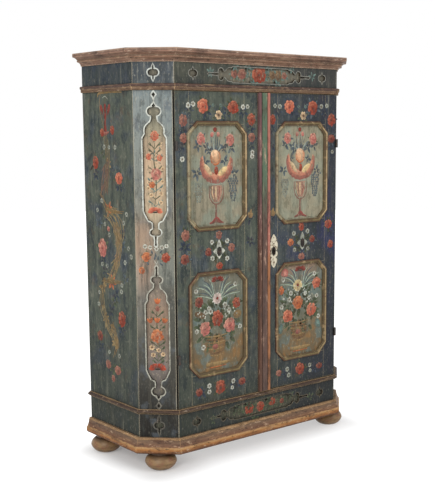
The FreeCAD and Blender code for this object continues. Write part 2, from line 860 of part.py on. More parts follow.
# ---------------------------------------------------------------- batten, lock and keeper
batten_right = right_leaf_edge + batten_width
bead_y = front_y - batten_thickness + batten_bead / 2
fascia_y = front_y - batten_thickness + batten_fascia_sink
batten_face = outline_face((right_leaf_edge, front_y), [
    ((right_leaf_edge, bead_y), 0),
    ((right_leaf_edge + batten_bead, bead_y), 1),
    ((right_leaf_edge + batten_bead + batten_fillet, bead_y), 0),
    ((right_leaf_edge + batten_bead + 2 * batten_fillet, fascia_y), 0),
    ((batten_right - batten_bead - 2 * batten_fillet, fascia_y), 0),
    ((batten_right - batten_bead - batten_fillet, bead_y), 0),
    ((batten_right - batten_bead, bead_y), 0),
    ((batten_right, bead_y), 1),
    ((batten_right, front_y), 0),
], Vector(1, 0, 0), Vector(0, 1, 0))
batten_face.translate(Vector(0, 0, door_bottom))
parts["batten"] = batten_face.extrude(Vector(0, 0, door_top - door_bottom))

keyhole_x = right_leaf_edge + keyhole_from_meeting_edge


def keyhole(depth, start_y):
    """A round hole with a slot below it, running back from start_y."""
    start = Vector(keyhole_x, start_y, keyhole_z)
    disc = Part.makeCylinder(keyhole_radius, depth, start, Vector(0, 1, 0))
    slot = block(
        (keyhole_x - keyhole_slot_width / 2, keyhole_x + keyhole_slot_width / 2),
        (start_y, start_y + depth),
        (keyhole_z - keyhole_slot, keyhole_z),
    )
    return disc.fuse(slot)


right_leaf["meeting_stile"] = right_leaf["meeting_stile"].cut(
    keyhole(door_thickness + 2 * run_past, front_y - run_past)
)

lock_x = (right_leaf_edge + lock_from_meeting_edge,
          right_leaf_edge + lock_from_meeting_edge + lock_width)
bolt_z = (keyhole_z + lock_bolt_rise - lock_bolt_width / 2,
          keyhole_z + lock_bolt_rise + lock_bolt_width / 2)
bolt_y = (door_back + (lock_depth - lock_bolt_thickness) / 2,
          door_back + (lock_depth + lock_bolt_thickness) / 2)
lock_case = block(lock_x, (door_back, door_back + lock_depth),
                  (keyhole_z - lock_height / 2, keyhole_z + lock_height / 2))
lock_bolt_x = (lock_x[0] + lock_bolt_inset, lock_x[0] + lock_bolt_inset + lock_bolt_length)
channel = block(
    (lock_x[0] - run_past, lock_bolt_x[1] + lock_bolt_end_room),
    (bolt_y[0] - slide_clearance, bolt_y[1] + slide_clearance),
    (bolt_z[0] - slide_clearance, bolt_z[1] + slide_clearance),
)
parts["lock_case"] = lock_case.cut([channel, keyhole(lock_depth / 2, door_back - run_past)])
parts["lock_bolt"] = block(lock_bolt_x, bolt_y, bolt_z)

keeper_x = (left_leaf_edge - keeper_from_edge - keeper_width, left_leaf_edge - keeper_from_edge)
keeper = block(
    keeper_x,
    (door_back, bolt_y[1] + keeper_wall),
    (bolt_z[0] - keeper_wall, bolt_z[1] + keeper_wall),
)
keeper = keeper.cut(block(
    (keeper_x[0] + keeper_end_wall, keeper_x[1] + run_past),
    (bolt_y[0] - 2 * slide_clearance, bolt_y[1] + 2 * slide_clearance),
    (bolt_z[0] - 2 * slide_clearance, bolt_z[1] + 2 * slide_clearance),
))


def escutcheon():
    """A long scroll-cut plate: a drop at each end and a pair of wings above and below the key."""
    half, wide = escutcheon_length / 2, escutcheon_half_width
    side = [
        ((wide * 0.80, -half * 0.58), 0.22),
        ((wide * 0.42, -half * 0.36), 0.30),
        ((wide, -half * 0.15), 0.38),
        ((wide * 0.58, 0), 0.30),
        ((wide, half * 0.40), 0.30),
        ((wide * 0.55, half * 0.58), 0.38),
        ((wide * 0.80, half * 0.66), 0.30),
        ((0, half), 0.10),
    ]
    points = [(0, -half)] + [point for point, bulge in side]
    bulges = [bulge for point, bulge in side]
    back = [((-points[i][0], points[i][1]), bulges[i]) for i in range(len(side) - 1, -1, -1)]
    plate = flat_outline((0, -half), side + back).extrude(Vector(0, 0, escutcheon_thickness))
    for level in (0.78, 0.44, -0.28, -0.82):
        plate = plate.cut(Part.makeCylinder(
            escutcheon_hole_radius, escutcheon_thickness + 2 * run_past,
            Vector(0, half * level, -run_past),
        ))
    return placed(plate, FRONT, Vector(keyhole_x, front_y, keyhole_z))


parts["escutcheon"] = escutcheon().cut(
    keyhole(escutcheon_thickness + 2 * run_past, front_y - escutcheon_thickness - run_past)
)

# ---------------------------------------------------------------- bolts of the left leaf
bolt_x = left_leaf_edge - bolt_from_edge
bar_y = (door_back + bolt_plate_thickness + slide_clearance,
         door_back + bolt_plate_thickness + slide_clearance + bolt_thickness)


def leaf_bolt(tip, direction):
    """Bar, its knob and its guide plate. direction is 1 where the bolt shoots upwards."""
    tail = tip - direction * bolt_length
    bar_x = (bolt_x - bolt_width / 2, bolt_x + bolt_width / 2)
    bar = block(bar_x, bar_y, (tip, tail))
    plate_z = (tip - direction * bolt_plate_setback,
               tip - direction * (bolt_plate_setback + bolt_plate_length))
    knob_z = (plate_z[0] + plate_z[1]) / 2 - direction * bolt_travel / 2
    knob = Part.makeCylinder(bolt_knob_radius, bolt_knob_length,
                             Vector(bolt_x, bar_y[1] - bolt_knob_root, knob_z), Vector(0, 1, 0))
    plate = block(
        (bolt_x - bolt_plate_width / 2, bolt_x + bolt_plate_width / 2),
        (door_back, door_back + bolt_plate_thickness),
        plate_z,
    )
    passage = block(
        (bar_x[0] - slide_clearance, bar_x[1] + slide_clearance),
        (bar_y[0] - slide_clearance, bar_y[1] + slide_clearance),
        (min(plate_z) - run_past, max(plate_z) + run_past),
    )
    for end, inward in ((plate_z[0], -direction), (plate_z[1], direction)):
        staple = block(
            (bar_x[0] - slide_clearance - staple_wall, bar_x[1] + slide_clearance + staple_wall),
            (door_back, bar_y[1] + slide_clearance + staple_wall),
            (end + inward * staple_from_end, end + inward * (staple_from_end + staple_height)),
        )
        plate = plate.fuse(staple.cut(passage))
    return bar.fuse(knob), plate.removeSplitter()


def bolt_hole(surface, direction):
    """A hole in a rail for the tip of a bolt, from its surface inwards."""
    spare = 2 * slide_clearance
    return block(
        (bolt_x - bolt_width / 2 - spare, bolt_x + bolt_width / 2 + spare),
        (bar_y[0] - spare, bar_y[1] + spare),
        (surface - direction * run_past, surface + direction * (bolt_travel + run_past)),
    )


top_bolt, top_guide = leaf_bolt(head_bottom - bolt_rest_gap, 1)
bottom_bolt, bottom_guide = leaf_bolt(sill_top + bolt_rest_gap, -1)
parts["left_top_bolt"] = top_bolt
parts["left_bottom_bolt"] = bottom_bolt
parts["left_door_staples"] = Part.makeCompound([keeper, top_guide, bottom_guide])
parts["head_rail"] = head_rail.cut(bolt_hole(head_bottom, 1))
parts["sill_rail"] = sill_rail.cut(bolt_hole(sill_top, -1))

# ---------------------------------------------------------------- hinges
hinge_axis_x = hinge_edge + hinge_axis_inset
hinge_axis_y = front_y - knuckle_radius - knuckle_stand_off
hinge_levels = (door_top - upper_hinge_below_top, door_bottom + lower_hinge_above_bottom)
bore_radius = hinge_pin_radius + pin_clearance
strap_y = hinge_axis_y + knuckle_radius - hinge_strap_thickness


def knuckle_with_leaf(seat, toward, low, high):
    """A knuckle with a strap behind it and a leaf that lies on one wall of the gap."""
    barrel = Part.makeCylinder(knuckle_radius, high - low, Vector(hinge_axis_x, hinge_axis_y, low))
    strap = block((seat, hinge_axis_x), (strap_y, strap_y + hinge_strap_thickness), (low, high))
    leaf = block((seat, seat + toward * hinge_leaf_thickness),
                 (strap_y, front_y + hinge_leaf_depth), (low, high))
    return barrel.fuse([strap, leaf]).removeSplitter()


door_leaves = []
jamb_leaves = []
bearing = slide_clearance / 2
for level in hinge_levels:
    upper = knuckle_with_leaf(hinge_edge, -1, level + bearing, level + knuckle_height)
    bore = Part.makeCylinder(
        bore_radius, knuckle_height + 2 * run_past,
        Vector(hinge_axis_x, hinge_axis_y, level - run_past),
    )
    door_leaves.append(upper.cut(bore))
    lower = knuckle_with_leaf(hinge_edge - hinge_gap, 1, level - knuckle_height, level - bearing)
    pin = Part.makeCylinder(
        hinge_pin_radius, 2 * (knuckle_height - hinge_pin_inset),
        Vector(hinge_axis_x, hinge_axis_y, level - knuckle_height + hinge_pin_inset),
    )
    jamb_leaves.append(lower.fuse(pin))
parts["left_door_leaves"] = Part.makeCompound(door_leaves)
parts["right_door_leaves"] = Part.makeCompound([mirrored(leaf) for leaf in door_leaves])
parts["hinge_pintles"] = Part.makeCompound(jamb_leaves + [mirrored(leaf) for leaf in jamb_leaves])

for name, shape in left_leaf.items():
    parts["left_" + name] = shape
for name, shape in right_leaf.items():
    parts["right_" + name] = shape

# ---------------------------------------------------------------- export
os.makedirs("parts", exist_ok=True)
for name, shape in parts.items():
    shape.exportStep("parts/%s.step" % name)
print(len(parts), "sub-parts")
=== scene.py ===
# %% [markdown]
# # A painted cupboard with canted corners
#
# The cupboard's boards, mouldings, hinges and bolts are already there as solids, packed in one
# frame that a simulation shares. What is left is everything the painter did, and two hundred years
# of use. We load the frame first.

# %% Load the frame
import math
import random

import bmesh
import bpy
from mathutils import Matrix, Vector
from mathutils.geometry import interpolate_bezier


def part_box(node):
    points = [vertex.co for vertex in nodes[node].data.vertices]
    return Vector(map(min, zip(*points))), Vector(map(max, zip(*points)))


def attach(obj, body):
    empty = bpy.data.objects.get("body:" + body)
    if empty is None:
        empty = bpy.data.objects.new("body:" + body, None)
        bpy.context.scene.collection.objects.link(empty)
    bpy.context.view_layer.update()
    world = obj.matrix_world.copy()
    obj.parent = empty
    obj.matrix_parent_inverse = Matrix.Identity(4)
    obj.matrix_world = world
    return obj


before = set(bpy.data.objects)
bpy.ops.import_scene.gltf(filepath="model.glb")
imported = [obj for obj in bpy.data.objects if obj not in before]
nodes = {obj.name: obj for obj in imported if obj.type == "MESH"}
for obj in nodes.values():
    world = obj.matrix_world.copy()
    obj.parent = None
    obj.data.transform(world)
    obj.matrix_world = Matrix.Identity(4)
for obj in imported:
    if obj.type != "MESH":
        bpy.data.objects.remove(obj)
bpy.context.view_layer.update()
MM = 0.001

# %% [markdown]
# ## The camera
#
# The cupboard is seen from its left, from a little under head height, so that the side, the
# canted corner and the doors all show. A camera looks along its own -Z: tilting it up by
# 90 degrees makes it look along +Y, and the turns below start from there. The shift slides the
# picture in the lens, which sets how much the uprights lean and leaves the view as it is.

# %% Camera
TILT_DOWN, ROLL, TURN = 8.797, 0.187, -40.039  # degrees
camera_data = bpy.data.cameras.new("camera")
camera_data.sensor_width = 36.0
camera_data.lens = 70.05
camera_data.shift_x = -0.0636
camera_data.shift_y = 0.0610
camera = bpy.data.objects.new("camera", camera_data)
camera.location = (-2.9323, -3.6521, 1.5084)
camera.rotation_euler = [math.radians(angle) for angle in (90 - TILT_DOWN, ROLL, TURN)]
bpy.context.scene.collection.objects.link(camera)
bpy.context.scene.camera = camera
bpy.context.scene.view_settings.view_transform = "Standard"
print("camera stands", round(Vector(camera.location).length, 2), "m from the middle of the floor")

# %% [markdown]
# ## A way to write shader sums
#
# A material is a net of nodes, and long nets are hard to read as code. The class below wraps one
# output socket, so that a sum such as `1 - mask * 0.5` adds its own Math nodes. Colours can't go
# through Math nodes, which would turn them grey, so they have the `mixed` function.

# %% Shader sums
class Shade:
    """A value inside a material. Arithmetic on it adds the nodes that work it out."""

    def __init__(self, tree, socket):
        self.tree = tree
        self.socket = socket

    def node(self, kind, settings=None, inputs=None, output=0):
        """Any node: its type, its settings, what goes into its sockets, and the socket wanted."""
        made = self.tree.nodes.new("ShaderNode" + kind)
        for name, value in (settings or {}).items():
            if name == "stops":
                fill_ramp(made.color_ramp, value)
            else:
                setattr(made, name, value)
        for key, value in (inputs or {}).items():
            if isinstance(value, Shade):
                self.tree.links.new(value.socket, made.inputs[key])
            else:
                made.inputs[key].default_value = value
        return Shade(self.tree, made.outputs[output])

    def math(self, operation, *values):
        return self.node("Math", {"operation": operation}, dict(enumerate(values)))

    def vector(self, operation, *values, output=0):
        """Sums on whole vectors. Output 1 holds what is a single number, such as a length."""
        return self.node("VectorMath", {"operation": operation}, dict(enumerate(values)), output)

    def __add__(self, other):
        return self.math("ADD", self, other)

    def __sub__(self, other):
        return self.math("SUBTRACT", self, other)

    def __rsub__(self, other):
        return self.math("SUBTRACT", other, self)

    def __mul__(self, other):
        return self.math("MULTIPLY", self, other)

    def __abs__(self):
        return self.math("ABSOLUTE", self)

    __radd__ = __add__
    __rmul__ = __mul__


def fill_ramp(ramp, stops):
    """Sets a colour ramp to (place, colour) stops."""
    while len(ramp.elements) < len(stops):
        ramp.elements.new(0.5)
    for element, (place, colour) in zip(ramp.elements, stops):
        element.position = place
        element.color = colour


def greater(one, other):
    return one.math("MAXIMUM", one, other)


def step(value, low, high):
    """0 below low, 1 above high and a soft slope between them. high may be the lower one."""
    return value.node("MapRange", {"interpolation_type": "SMOOTHSTEP"},
                      {"Value": value, "From Min": low, "From Max": high})


def mixed(one, other, share):
    """One colour, or as much of the other as share says."""
    return share.node("Mix", {"data_type": "RGBA"}, {0: share, 6: one, 7: other}, output=2)


def coated(colour, *coats):
    """A colour under several coats of paint, each with the share of the surface it covers."""
    for tone, share in coats:
        colour = mixed(colour, tone, share)
    return colour


def paint(red, green, blue):
    """A paint as it looks, in numbers up to 255, made the linear colour that Blender uses."""
    def linear(value):
        value = value / 255
        return value / 12.92 if value <= 0.04045 else ((value + 0.055) / 1.055) ** 2.4

    return (linear(red), linear(green), linear(blue), 1.0)


def laid_out(value, *stops):
    """Paints laid out along a value: each stop is a place from 0 to 1 and a paint's numbers."""
    return value.node("ValToRGB", {"stops": [(at, paint(*tone)) for at, *tone in stops]},
                      {0: value})


def blend(one, other, share):
    """A paint between two paints, mixed before it comes into a material."""
    return tuple(a + (b - a) * share for a, b in zip(one, other))


def stretched(place, x=1.0, y=1.0, z=1.0):
    """The place with its numbers scaled, which stretches any pattern read there."""
    return place.vector("MULTIPLY", place, (x, y, z))


def noise(place, scale, detail=3.0, roughness=0.55):
    return place.node("TexNoise", {}, {"Vector": place, "Scale": scale, "Detail": detail,
                                       "Roughness": roughness})


def numbers_of(place):
    """The x, y and z of a place."""
    return [place.node("SeparateXYZ", {}, {0: place}, output=index) for index in range(3)]


# %% [markdown]
# ## Starting and ending a material
#
# Every pattern is read at the object's own coordinates. All the pieces keep their place in their
# meshes, so these are the cupboard's coordinates in metres, and a crackle or a streak runs on
# from one board to the next where the paint did.

# %% Material helpers
def new_material(name):
    """A material and the place at which its patterns are read."""
    material = bpy.data.materials.new(name)
    material.use_nodes = True
    tree = material.node_tree
    place = Shade(tree, tree.nodes.new("ShaderNodeTexCoord").outputs["Object"])
    return material, place


def finish_material(material, colour, roughness, relief, depth, metallic=0.0, specular=0.18):
    """Joins a colour, a roughness and a relief to the material's surface. depth is in metres."""
    tree = material.node_tree
    surface = tree.nodes["Principled BSDF"]
    surface.inputs["Metallic"].default_value = metallic
    surface.inputs["Specular IOR Level"].default_value = specular
    tree.links.new(colour.socket, surface.inputs["Base Color"])
    tree.links.new(roughness.socket, surface.inputs["Roughness"])
    bump = relief.node("Bump", {}, {"Height": relief, "Distance": depth, "Strength": 0.7})
    tree.links.new(bump.socket, surface.inputs["Normal"])
    return material


def rubbed_edges(place, reach, low=0.04, high=0.16):
    """1 along sharp edges, where hands and cloths wore the paint off, broken up by noise."""
    rounded = place.node("Bevel", {"samples": 4}, {"Radius": reach})
    flat = place.node("NewGeometry", {}, {}, output=1)
    agreement = place.vector("DOT_PRODUCT", rounded, flat, output=1)
    patchy = noise(place, 45.0, 4.0) * 0.22
    return step(1.11 - agreement - patchy, low, high)


def dirt_and_shade(place, reach=0.022):
    """1 deep in corners and beside raised edges: dirt, and painted shade where little light
    reaches.
    """
    open_sky = place.node("AmbientOcclusion", {"samples": 4}, {"Distance": reach}, output=1)
    return step(open_sky + (noise(place, 90.0, 3.0) - 0.5) * 0.25, 0.82, 0.42)


def looks_along(place):
    """The direction in which a face looks, in the object's own axes."""
    return numbers_of(place.node("TexCoord", {}, {}, output=1))


def wear_material(material, *names):
    """Gives CAD nodes a material."""
    for name in names:
        mesh = nodes[name].data
        mesh.materials.clear()
        mesh.materials.append(material)
    print(material.name, "is worn by", ", ".join(names))


def on_both_sides(*names):
    """The names of the pieces that the cupboard has on its left and on its right."""
    return [side + name for side in ("left_", "right_") for name in names]


# %% [markdown]
# ## The ground paint
#
# The boards wear one old distemper: blue-green, grey where it has faded, bluer and darker on the
# right leaf, with upright streaks from the brush and the grain below. Towards the floor it darkens,
# which is painted shade. The function gives the colour at any place, because the flowers need it
# too: where they are worn, the same ground shows through them.

# %% Ground paint
GROUND_DEEP = paint(46, 52, 50)
GROUND_GREEN = paint(80, 86, 76)
GROUND_BLUE = paint(66, 74, 84)
GROUND_PALE = paint(132, 130, 116)
GROUND_BROWN = paint(92, 74, 58)
# the dark of dirt and painted shade, for corners and for the edges of boards
DIRT_AND_SHADE_TONE = paint(30, 28, 26)
FRIEZE_FOOT, LOCK_HEIGHT, PLINTH_TOP = 1.69, 0.98, 0.29  # m
FRONT_FACES = (-0.20, -0.24)  # m, between which y passes to the boards at the front


def brush_streaks(place, fineness=50.0):
    """Upright streaks, about twelve times as long as wide."""
    return noise(stretched(place, 1.0, 1.0, 0.08), fineness, 4.0, 0.65)


def aged(place, colour, pale, dark, strength):
    """Dark dirt, pale rubbed flecks and fine streaks over a colour."""
    streaks = brush_streaks(place)
    dirt = noise(stretched(place, 1.0, 1.0, 0.45), 38.0, 5.0, 0.75)
    flecks = noise(stretched(place, 1.0, 1.0, 0.4), 150.0, 3.0, 0.7)
    return coated(colour, (dark, step(streaks, 0.54, 0.30) * (0.75 * strength)),
                  (dark, step(dirt, 0.50, 0.36) * (0.60 * strength)),
                  (pale, step(streaks, 0.56, 0.76) * (0.50 * strength)),
                  (pale, step(flecks, 0.56, 0.70) * (0.48 * strength)))


def ground_colour(place):
    """Greener on the left, bluer on the right, and darker on the right leaf and on the frieze.
    Darker near the floor, which is painted shade."""
    x, y, z = numbers_of(place)
    clouds = noise(place, 4.5, 3.0)
    blots = noise(stretched(place, 1.0, 1.0, 0.6), 21.0, 5.0, 0.7)
    right_leaf = step(x + (clouds - 0.5) * 0.3, 0.02, 0.40) * step(y, *FRONT_FACES)
    by_the_lock = step(clouds, 0.46, 0.60) * step(abs(z - LOCK_HEIGHT), 0.40, 0.10)
    frieze = mixed(paint(38, 46, 62), paint(66, 64, 56), step(y, -0.18, -0.24))
    colour = coated(GROUND_GREEN,
                    (GROUND_BLUE, step(x + (clouds - 0.5) * 0.9, -0.15, 0.35) * 0.85),
                    (GROUND_BLUE, step(noise(place, 8.0, 2.0), 0.50, 0.66) * 0.7),
                    (GROUND_BROWN, step(noise(place, 13.0, 5.0, 0.7), 0.54, 0.70) * 0.6),
                    (paint(40, 48, 54), step(blots, 0.49, 0.36) * 0.75),
                    (paint(112, 112, 98), step(blots, 0.54, 0.68) * 0.60),
                    # painted shade: darker towards the floor
                    (paint(44, 46, 42), step(z, 0.80, 0.30) * 0.48),
                    (paint(36, 36, 46), right_leaf * 0.72),
                    (paint(48, 50, 86), right_leaf * by_the_lock * 0.6),
                    (paint(40, 41, 34), step(z, PLINTH_TOP + 0.03, PLINTH_TOP - 0.03) * 0.50),
                    (frieze, step(z, FRIEZE_FOOT - 0.005, FRIEZE_FOOT + 0.005) * 0.60))
    return aged(place, colour, GROUND_PALE, GROUND_DEEP, 0.95)


def old_paint_gloss(place):
    return 0.58 + noise(place, 30.0) * 0.3


def finish_old_paint(material, place, colour, depth=0.0006):
    """Finishes a material with the gloss of old paint, brush marks and fine cracks in them."""
    cracks = place.node("TexVoronoi", {"feature": "DISTANCE_TO_EDGE"},
                        {"Vector": stretched(place, 1.0, 1.0, 0.4), "Scale": 130.0})
    relief = brush_streaks(place, 90.0) + step(cracks, 0.0, 0.05) * 0.4
    return finish_material(material, colour, old_paint_gloss(place), relief, depth)


UPRIGHT_GRAIN = (1.0, 1.0, 0.06)
LEVEL_GRAIN = (0.06, 1.0, 1.0)


def bare_inside(place, colour, grain=UPRIGHT_GRAIN):
    """Leaves the faces that look into the cupboard as unpainted wood."""
    x, y, z = looks_along(place)
    inwards = y - x * x.math("SIGN", numbers_of(place)[0])
    rings = noise(stretched(place, *grain), 50.0, 4.0)
    wood = mixed(paint(140, 106, 72), paint(104, 76, 50), step(rings, 0.40, 0.60))
    return mixed(colour, wood, step(inwards, 0.6, 0.9) * step(abs(z), 0.9, 0.6))


def board_material(name, front, grain=UPRIGHT_GRAIN):
    """Ground paint with rubbed edges, and dirt and painted shade in the corners. Where front is
    True the edges of the board are darkened with dirt and painted shade, and the inside of every
    board is bare wood."""
    material, place = new_material(name)
    # dirt and painted shade in the corners
    colour = mixed(ground_colour(place), DIRT_AND_SHADE_TONE, dirt_and_shade(place) * 0.8)
    colour = bare_inside(place, colour, grain)
    if front:
        # dirt and painted shade on the faces of front boards that don't look forwards
        forwards = abs(looks_along(place)[1])
        colour = mixed(colour, DIRT_AND_SHADE_TONE, step(forwards, 0.9, 0.6) * 0.9)
    colour = mixed(colour, paint(150, 138, 112), rubbed_edges(place, 0.004) * 0.75)
    return finish_old_paint(material, place, colour)


side_boards = board_material("side_ground_paint", False)
wear_material(side_boards, *on_both_sides("side"))
front_boards = board_material("front_ground_paint", True)
wear_material(front_boards, *on_both_sides("corner_blocks", "hinge_stile", "meeting_stile"))
rail_boards = board_material("rail_ground_paint", True, LEVEL_GRAIN)
wear_material(rail_boards, "plinth_fret", "frieze_fret",
              *on_both_sides("bottom_rail", "middle_rail", "top_rail"))

# %% [markdown]
# ## The canted corners
#
# The fret-cut boards are a paler grey-blue near the top, pass through a stained warm stretch
# between their two openings, and end as dark as the sides. A ramp over the height gives the
# colour, and noise bends the height so that no border runs straight.

# %% Canted boards
BETWEEN_OPENINGS = 0.96  # m, the height of the stretch between the two long openings


def cant_colour(place):
    x, y, z = numbers_of(place)
    height = z * 0.5 + (noise(place, 9.0, 3.0) - 0.5) * 0.10
    outer = step(y + (noise(place, 12.0, 3.0) - 0.5) * 0.08, -0.205, -0.15)
    middle = step(abs(z - BETWEEN_OPENINGS), 0.20, 0.10)
    low = step(z, 0.90, 0.80) * step(z, 0.55, 0.70)
    colour = coated(laid_out(height, (0.08, 30, 28, 25), (0.17, 50, 48, 44), (0.32, 86, 84, 76),
                             (0.43, 108, 101, 96), (0.52, 122, 112, 96), (0.60, 120, 121, 113),
                             (0.72, 130, 135, 129), (0.83, 120, 129, 129), (0.86, 66, 72, 76)),
                    (paint(92, 98, 104), step(noise(place, 14.0, 4.0), 0.52, 0.66) * 0.55),
                    (paint(178, 148, 124), outer * middle * 0.55),
                    (paint(122, 132, 122), (1 - outer) * middle * 0.5),
                    (paint(128, 124, 112), outer * low * 0.45),
                    (paint(78, 78, 70), (1 - outer) * low * 0.75))
    pale = mixed(paint(110, 106, 94), paint(178, 174, 158), step(z, 0.45, 1.10))
    return aged(place, colour, pale, paint(58, 60, 56), 0.85)


cant_paint, place = new_material("cant_paint")
x, y, z = looks_along(place)
# dirt and painted shade: the walls of the fret openings are darkened
walls_of_openings = step(x * x.math("SIGN", numbers_of(place)[0]) - y, 1.2, 0.8)
colour = coated(cant_colour(place), (paint(186, 176, 154), rubbed_edges(place, 0.005) * 0.7),
                (DIRT_AND_SHADE_TONE, walls_of_openings * 0.9))
finish_old_paint(cant_paint, place, colour)
wear_material(cant_paint, *on_both_sides("cant_fret"))

# %% Boards behind the openings
def recess_colour(place):
    height = numbers_of(place)[2] * 0.5 + (noise(place, 14.0, 3.0) - 0.5) * 0.06
    colour = laid_out(height, (0.11, 62, 64, 54), (0.17, 92, 88, 84), (0.24, 118, 108, 104),
                      (0.28, 122, 108, 96), (0.36, 142, 120, 102), (0.42, 132, 122, 112),
                      (0.50, 126, 124, 112), (0.58, 184, 164, 136), (0.70, 188, 160, 132),
                      (0.76, 146, 140, 118), (0.82, 118, 118, 108), (0.86, 104, 100, 88))
    return aged(place, colour, paint(200, 182, 150), paint(92, 88, 74), 0.8)


recess_paint, place = new_material("recess_paint")
# dirt and painted shade in the recess, darkest beside the fret's edges
colour = mixed(recess_colour(place), paint(34, 30, 26), dirt_and_shade(place, 0.018) * 0.85)
finish_old_paint(recess_paint, place, bare_inside(place, colour))
wear_material(recess_paint, "plinth_ground", "frieze_ground", *on_both_sides("cant_ground"))

# %% [markdown]
# ## The mouldings
#
# The long mouldings are red-brown and ochre over pine, rubbed through on every raised edge. Their
# members are level, so the paint is laid out by height in a ramp, and the streaks lie along the
# moulding instead of upright.

# %% Moulding paint
def along_streaks(place, fineness=70.0):
    """Streaks that lie level, as the grain of a moulding does."""
    return noise(stretched(place, 0.09, 0.09, 1.0), fineness, 4.0, 0.65)


def moulding_material(name, pale, dark, *stops):
    """Paint laid out over a moulding's height, with level streaks, chips and rubbed edges."""
    low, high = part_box(name)
    material, place = new_material(name.removesuffix("_moulding") + "_paint")
    share = (numbers_of(place)[2] - low.z) * (1 / (high.z - low.z))
    streaks = along_streaks(place)
    patches = noise(stretched(place, 0.5, 0.5, 1.0), 16.0, 4.0)
    chips = noise(stretched(place, 0.35, 0.35, 1.0), 90.0, 4.0, 0.8)
    colour = coated(laid_out(share + (noise(place, 60.0, 2.0) - 0.5) * 0.10, *stops),
                    (dark, step(streaks, 0.52, 0.30) * 0.75),
                    (pale, step(streaks, 0.55, 0.76) * 0.65),
                    (dark, step(patches, 0.55, 0.70) * 0.7),
                    (blend(pale, paint(255, 250, 240), 0.2), step(chips, 0.58, 0.66) * 0.5),
                    (paint(48, 38, 34), step(chips, 0.43, 0.37) * 0.8),
                    # dirt and painted shade in the moulding's hollows
                    (paint(36, 30, 26), dirt_and_shade(place, 0.012) * 0.7),
                    (pale, rubbed_edges(place, 0.005, 0.02, 0.12) * 0.9))
    finish_material(material, colour, 0.45 + noise(place, 40.0) * 0.3,
                    along_streaks(place, 120.0), 0.0006)
    wear_material(material, name)


moulding_material("cornice", paint(196, 168, 140), paint(76, 58, 50),
                  (0.05, 112, 86, 72), (0.35, 146, 112, 90), (0.46, 92, 66, 56),
                  (0.55, 128, 98, 80), (0.72, 142, 108, 90), (0.84, 110, 84, 72),
                  (0.95, 156, 128, 108))
moulding_material("upper_band", paint(184, 154, 116), paint(78, 60, 52), (0.10, 98, 74, 54),
                  (0.40, 100, 78, 62), (0.62, 76, 58, 52), (0.90, 86, 64, 56))
moulding_material("lower_band", paint(156, 130, 96), paint(66, 54, 46),
                  (0.20, 62, 52, 38), (0.60, 70, 54, 46), (0.95, 62, 48, 42))
moulding_material("base_moulding", paint(190, 150, 104), paint(84, 58, 44),
                  (0.06, 96, 62, 44), (0.28, 160, 108, 62), (0.42, 176, 138, 94),
                  (0.47, 112, 78, 58), (0.74, 112, 88, 70), (0.90, 104, 84, 66),
                  (0.97, 128, 104, 80))

# %% [markdown]
# ## Panels and their frames
#
# A panel is sage grey, bluer at its top and ochre at its foot like ground under a bouquet. The
# moulding round it is an octagon, so its red-brown outer line, ochre round and pale inner edge
# follow the distance to that octagon, which is a sum of a few absolute values. Its upright sides
# carry a painted highlight, paler on the right.

# %% Panel paint
BETWEEN_PANELS = 0.9725  # m, a height on the middle rail


def panel_colour(place):
    x, y, z = numbers_of(place)
    clouds = noise(place, 13.0, 3.0)
    blots = noise(stretched(place, 1.0, 1.0, 0.7), 24.0, 5.0, 0.7)
    lower = step(z, BETWEEN_PANELS + 0.0025, BETWEEN_PANELS - 0.0025)
    level = z + (clouds - 0.5) * 0.16
    to_right = step(x, 0.0, 0.1)
    foot = coated(paint(104, 108, 96), (paint(114, 94, 68), step(level, 0.66, 0.46)),
                  (paint(152, 118, 98), step(level, 0.76, 0.86) * (0.15 + to_right * 0.45)),
                  (paint(98, 116, 114), step(clouds, 0.52, 0.60) * 0.65),
                  (paint(142, 104, 62),
                   step(clouds, 0.48, 0.40) * step(level, 0.62, 0.50) * 0.65))
    colour = coated(paint(140, 132, 112), (paint(132, 136, 120), step(clouds, 0.42, 0.60)),
                    (paint(160, 156, 132), to_right * 0.35),
                    (foot, lower),
                    (paint(96, 92, 72), step(blots, 0.48, 0.34) * 0.55),
                    (paint(168, 164, 138), step(blots, 0.56, 0.72) * (0.5 - 0.3 * lower)))
    return aged(place, colour, paint(176, 170, 144), paint(92, 90, 74), 0.8)


panel_paint, place = new_material("panel_paint")
finish_old_paint(panel_paint, place, bare_inside(place, panel_colour(place)), 0.0005)
wear_material(panel_paint, *on_both_sides("upper_panel", "lower_panel"))

# %% Panel mouldings
PANEL_CHAMFER = 0.053  # m, by which each corner of the octagon is cut back along both sides
MOULDING_WIDE = 0.02  # m, over which its colours are laid out, from outside to inside


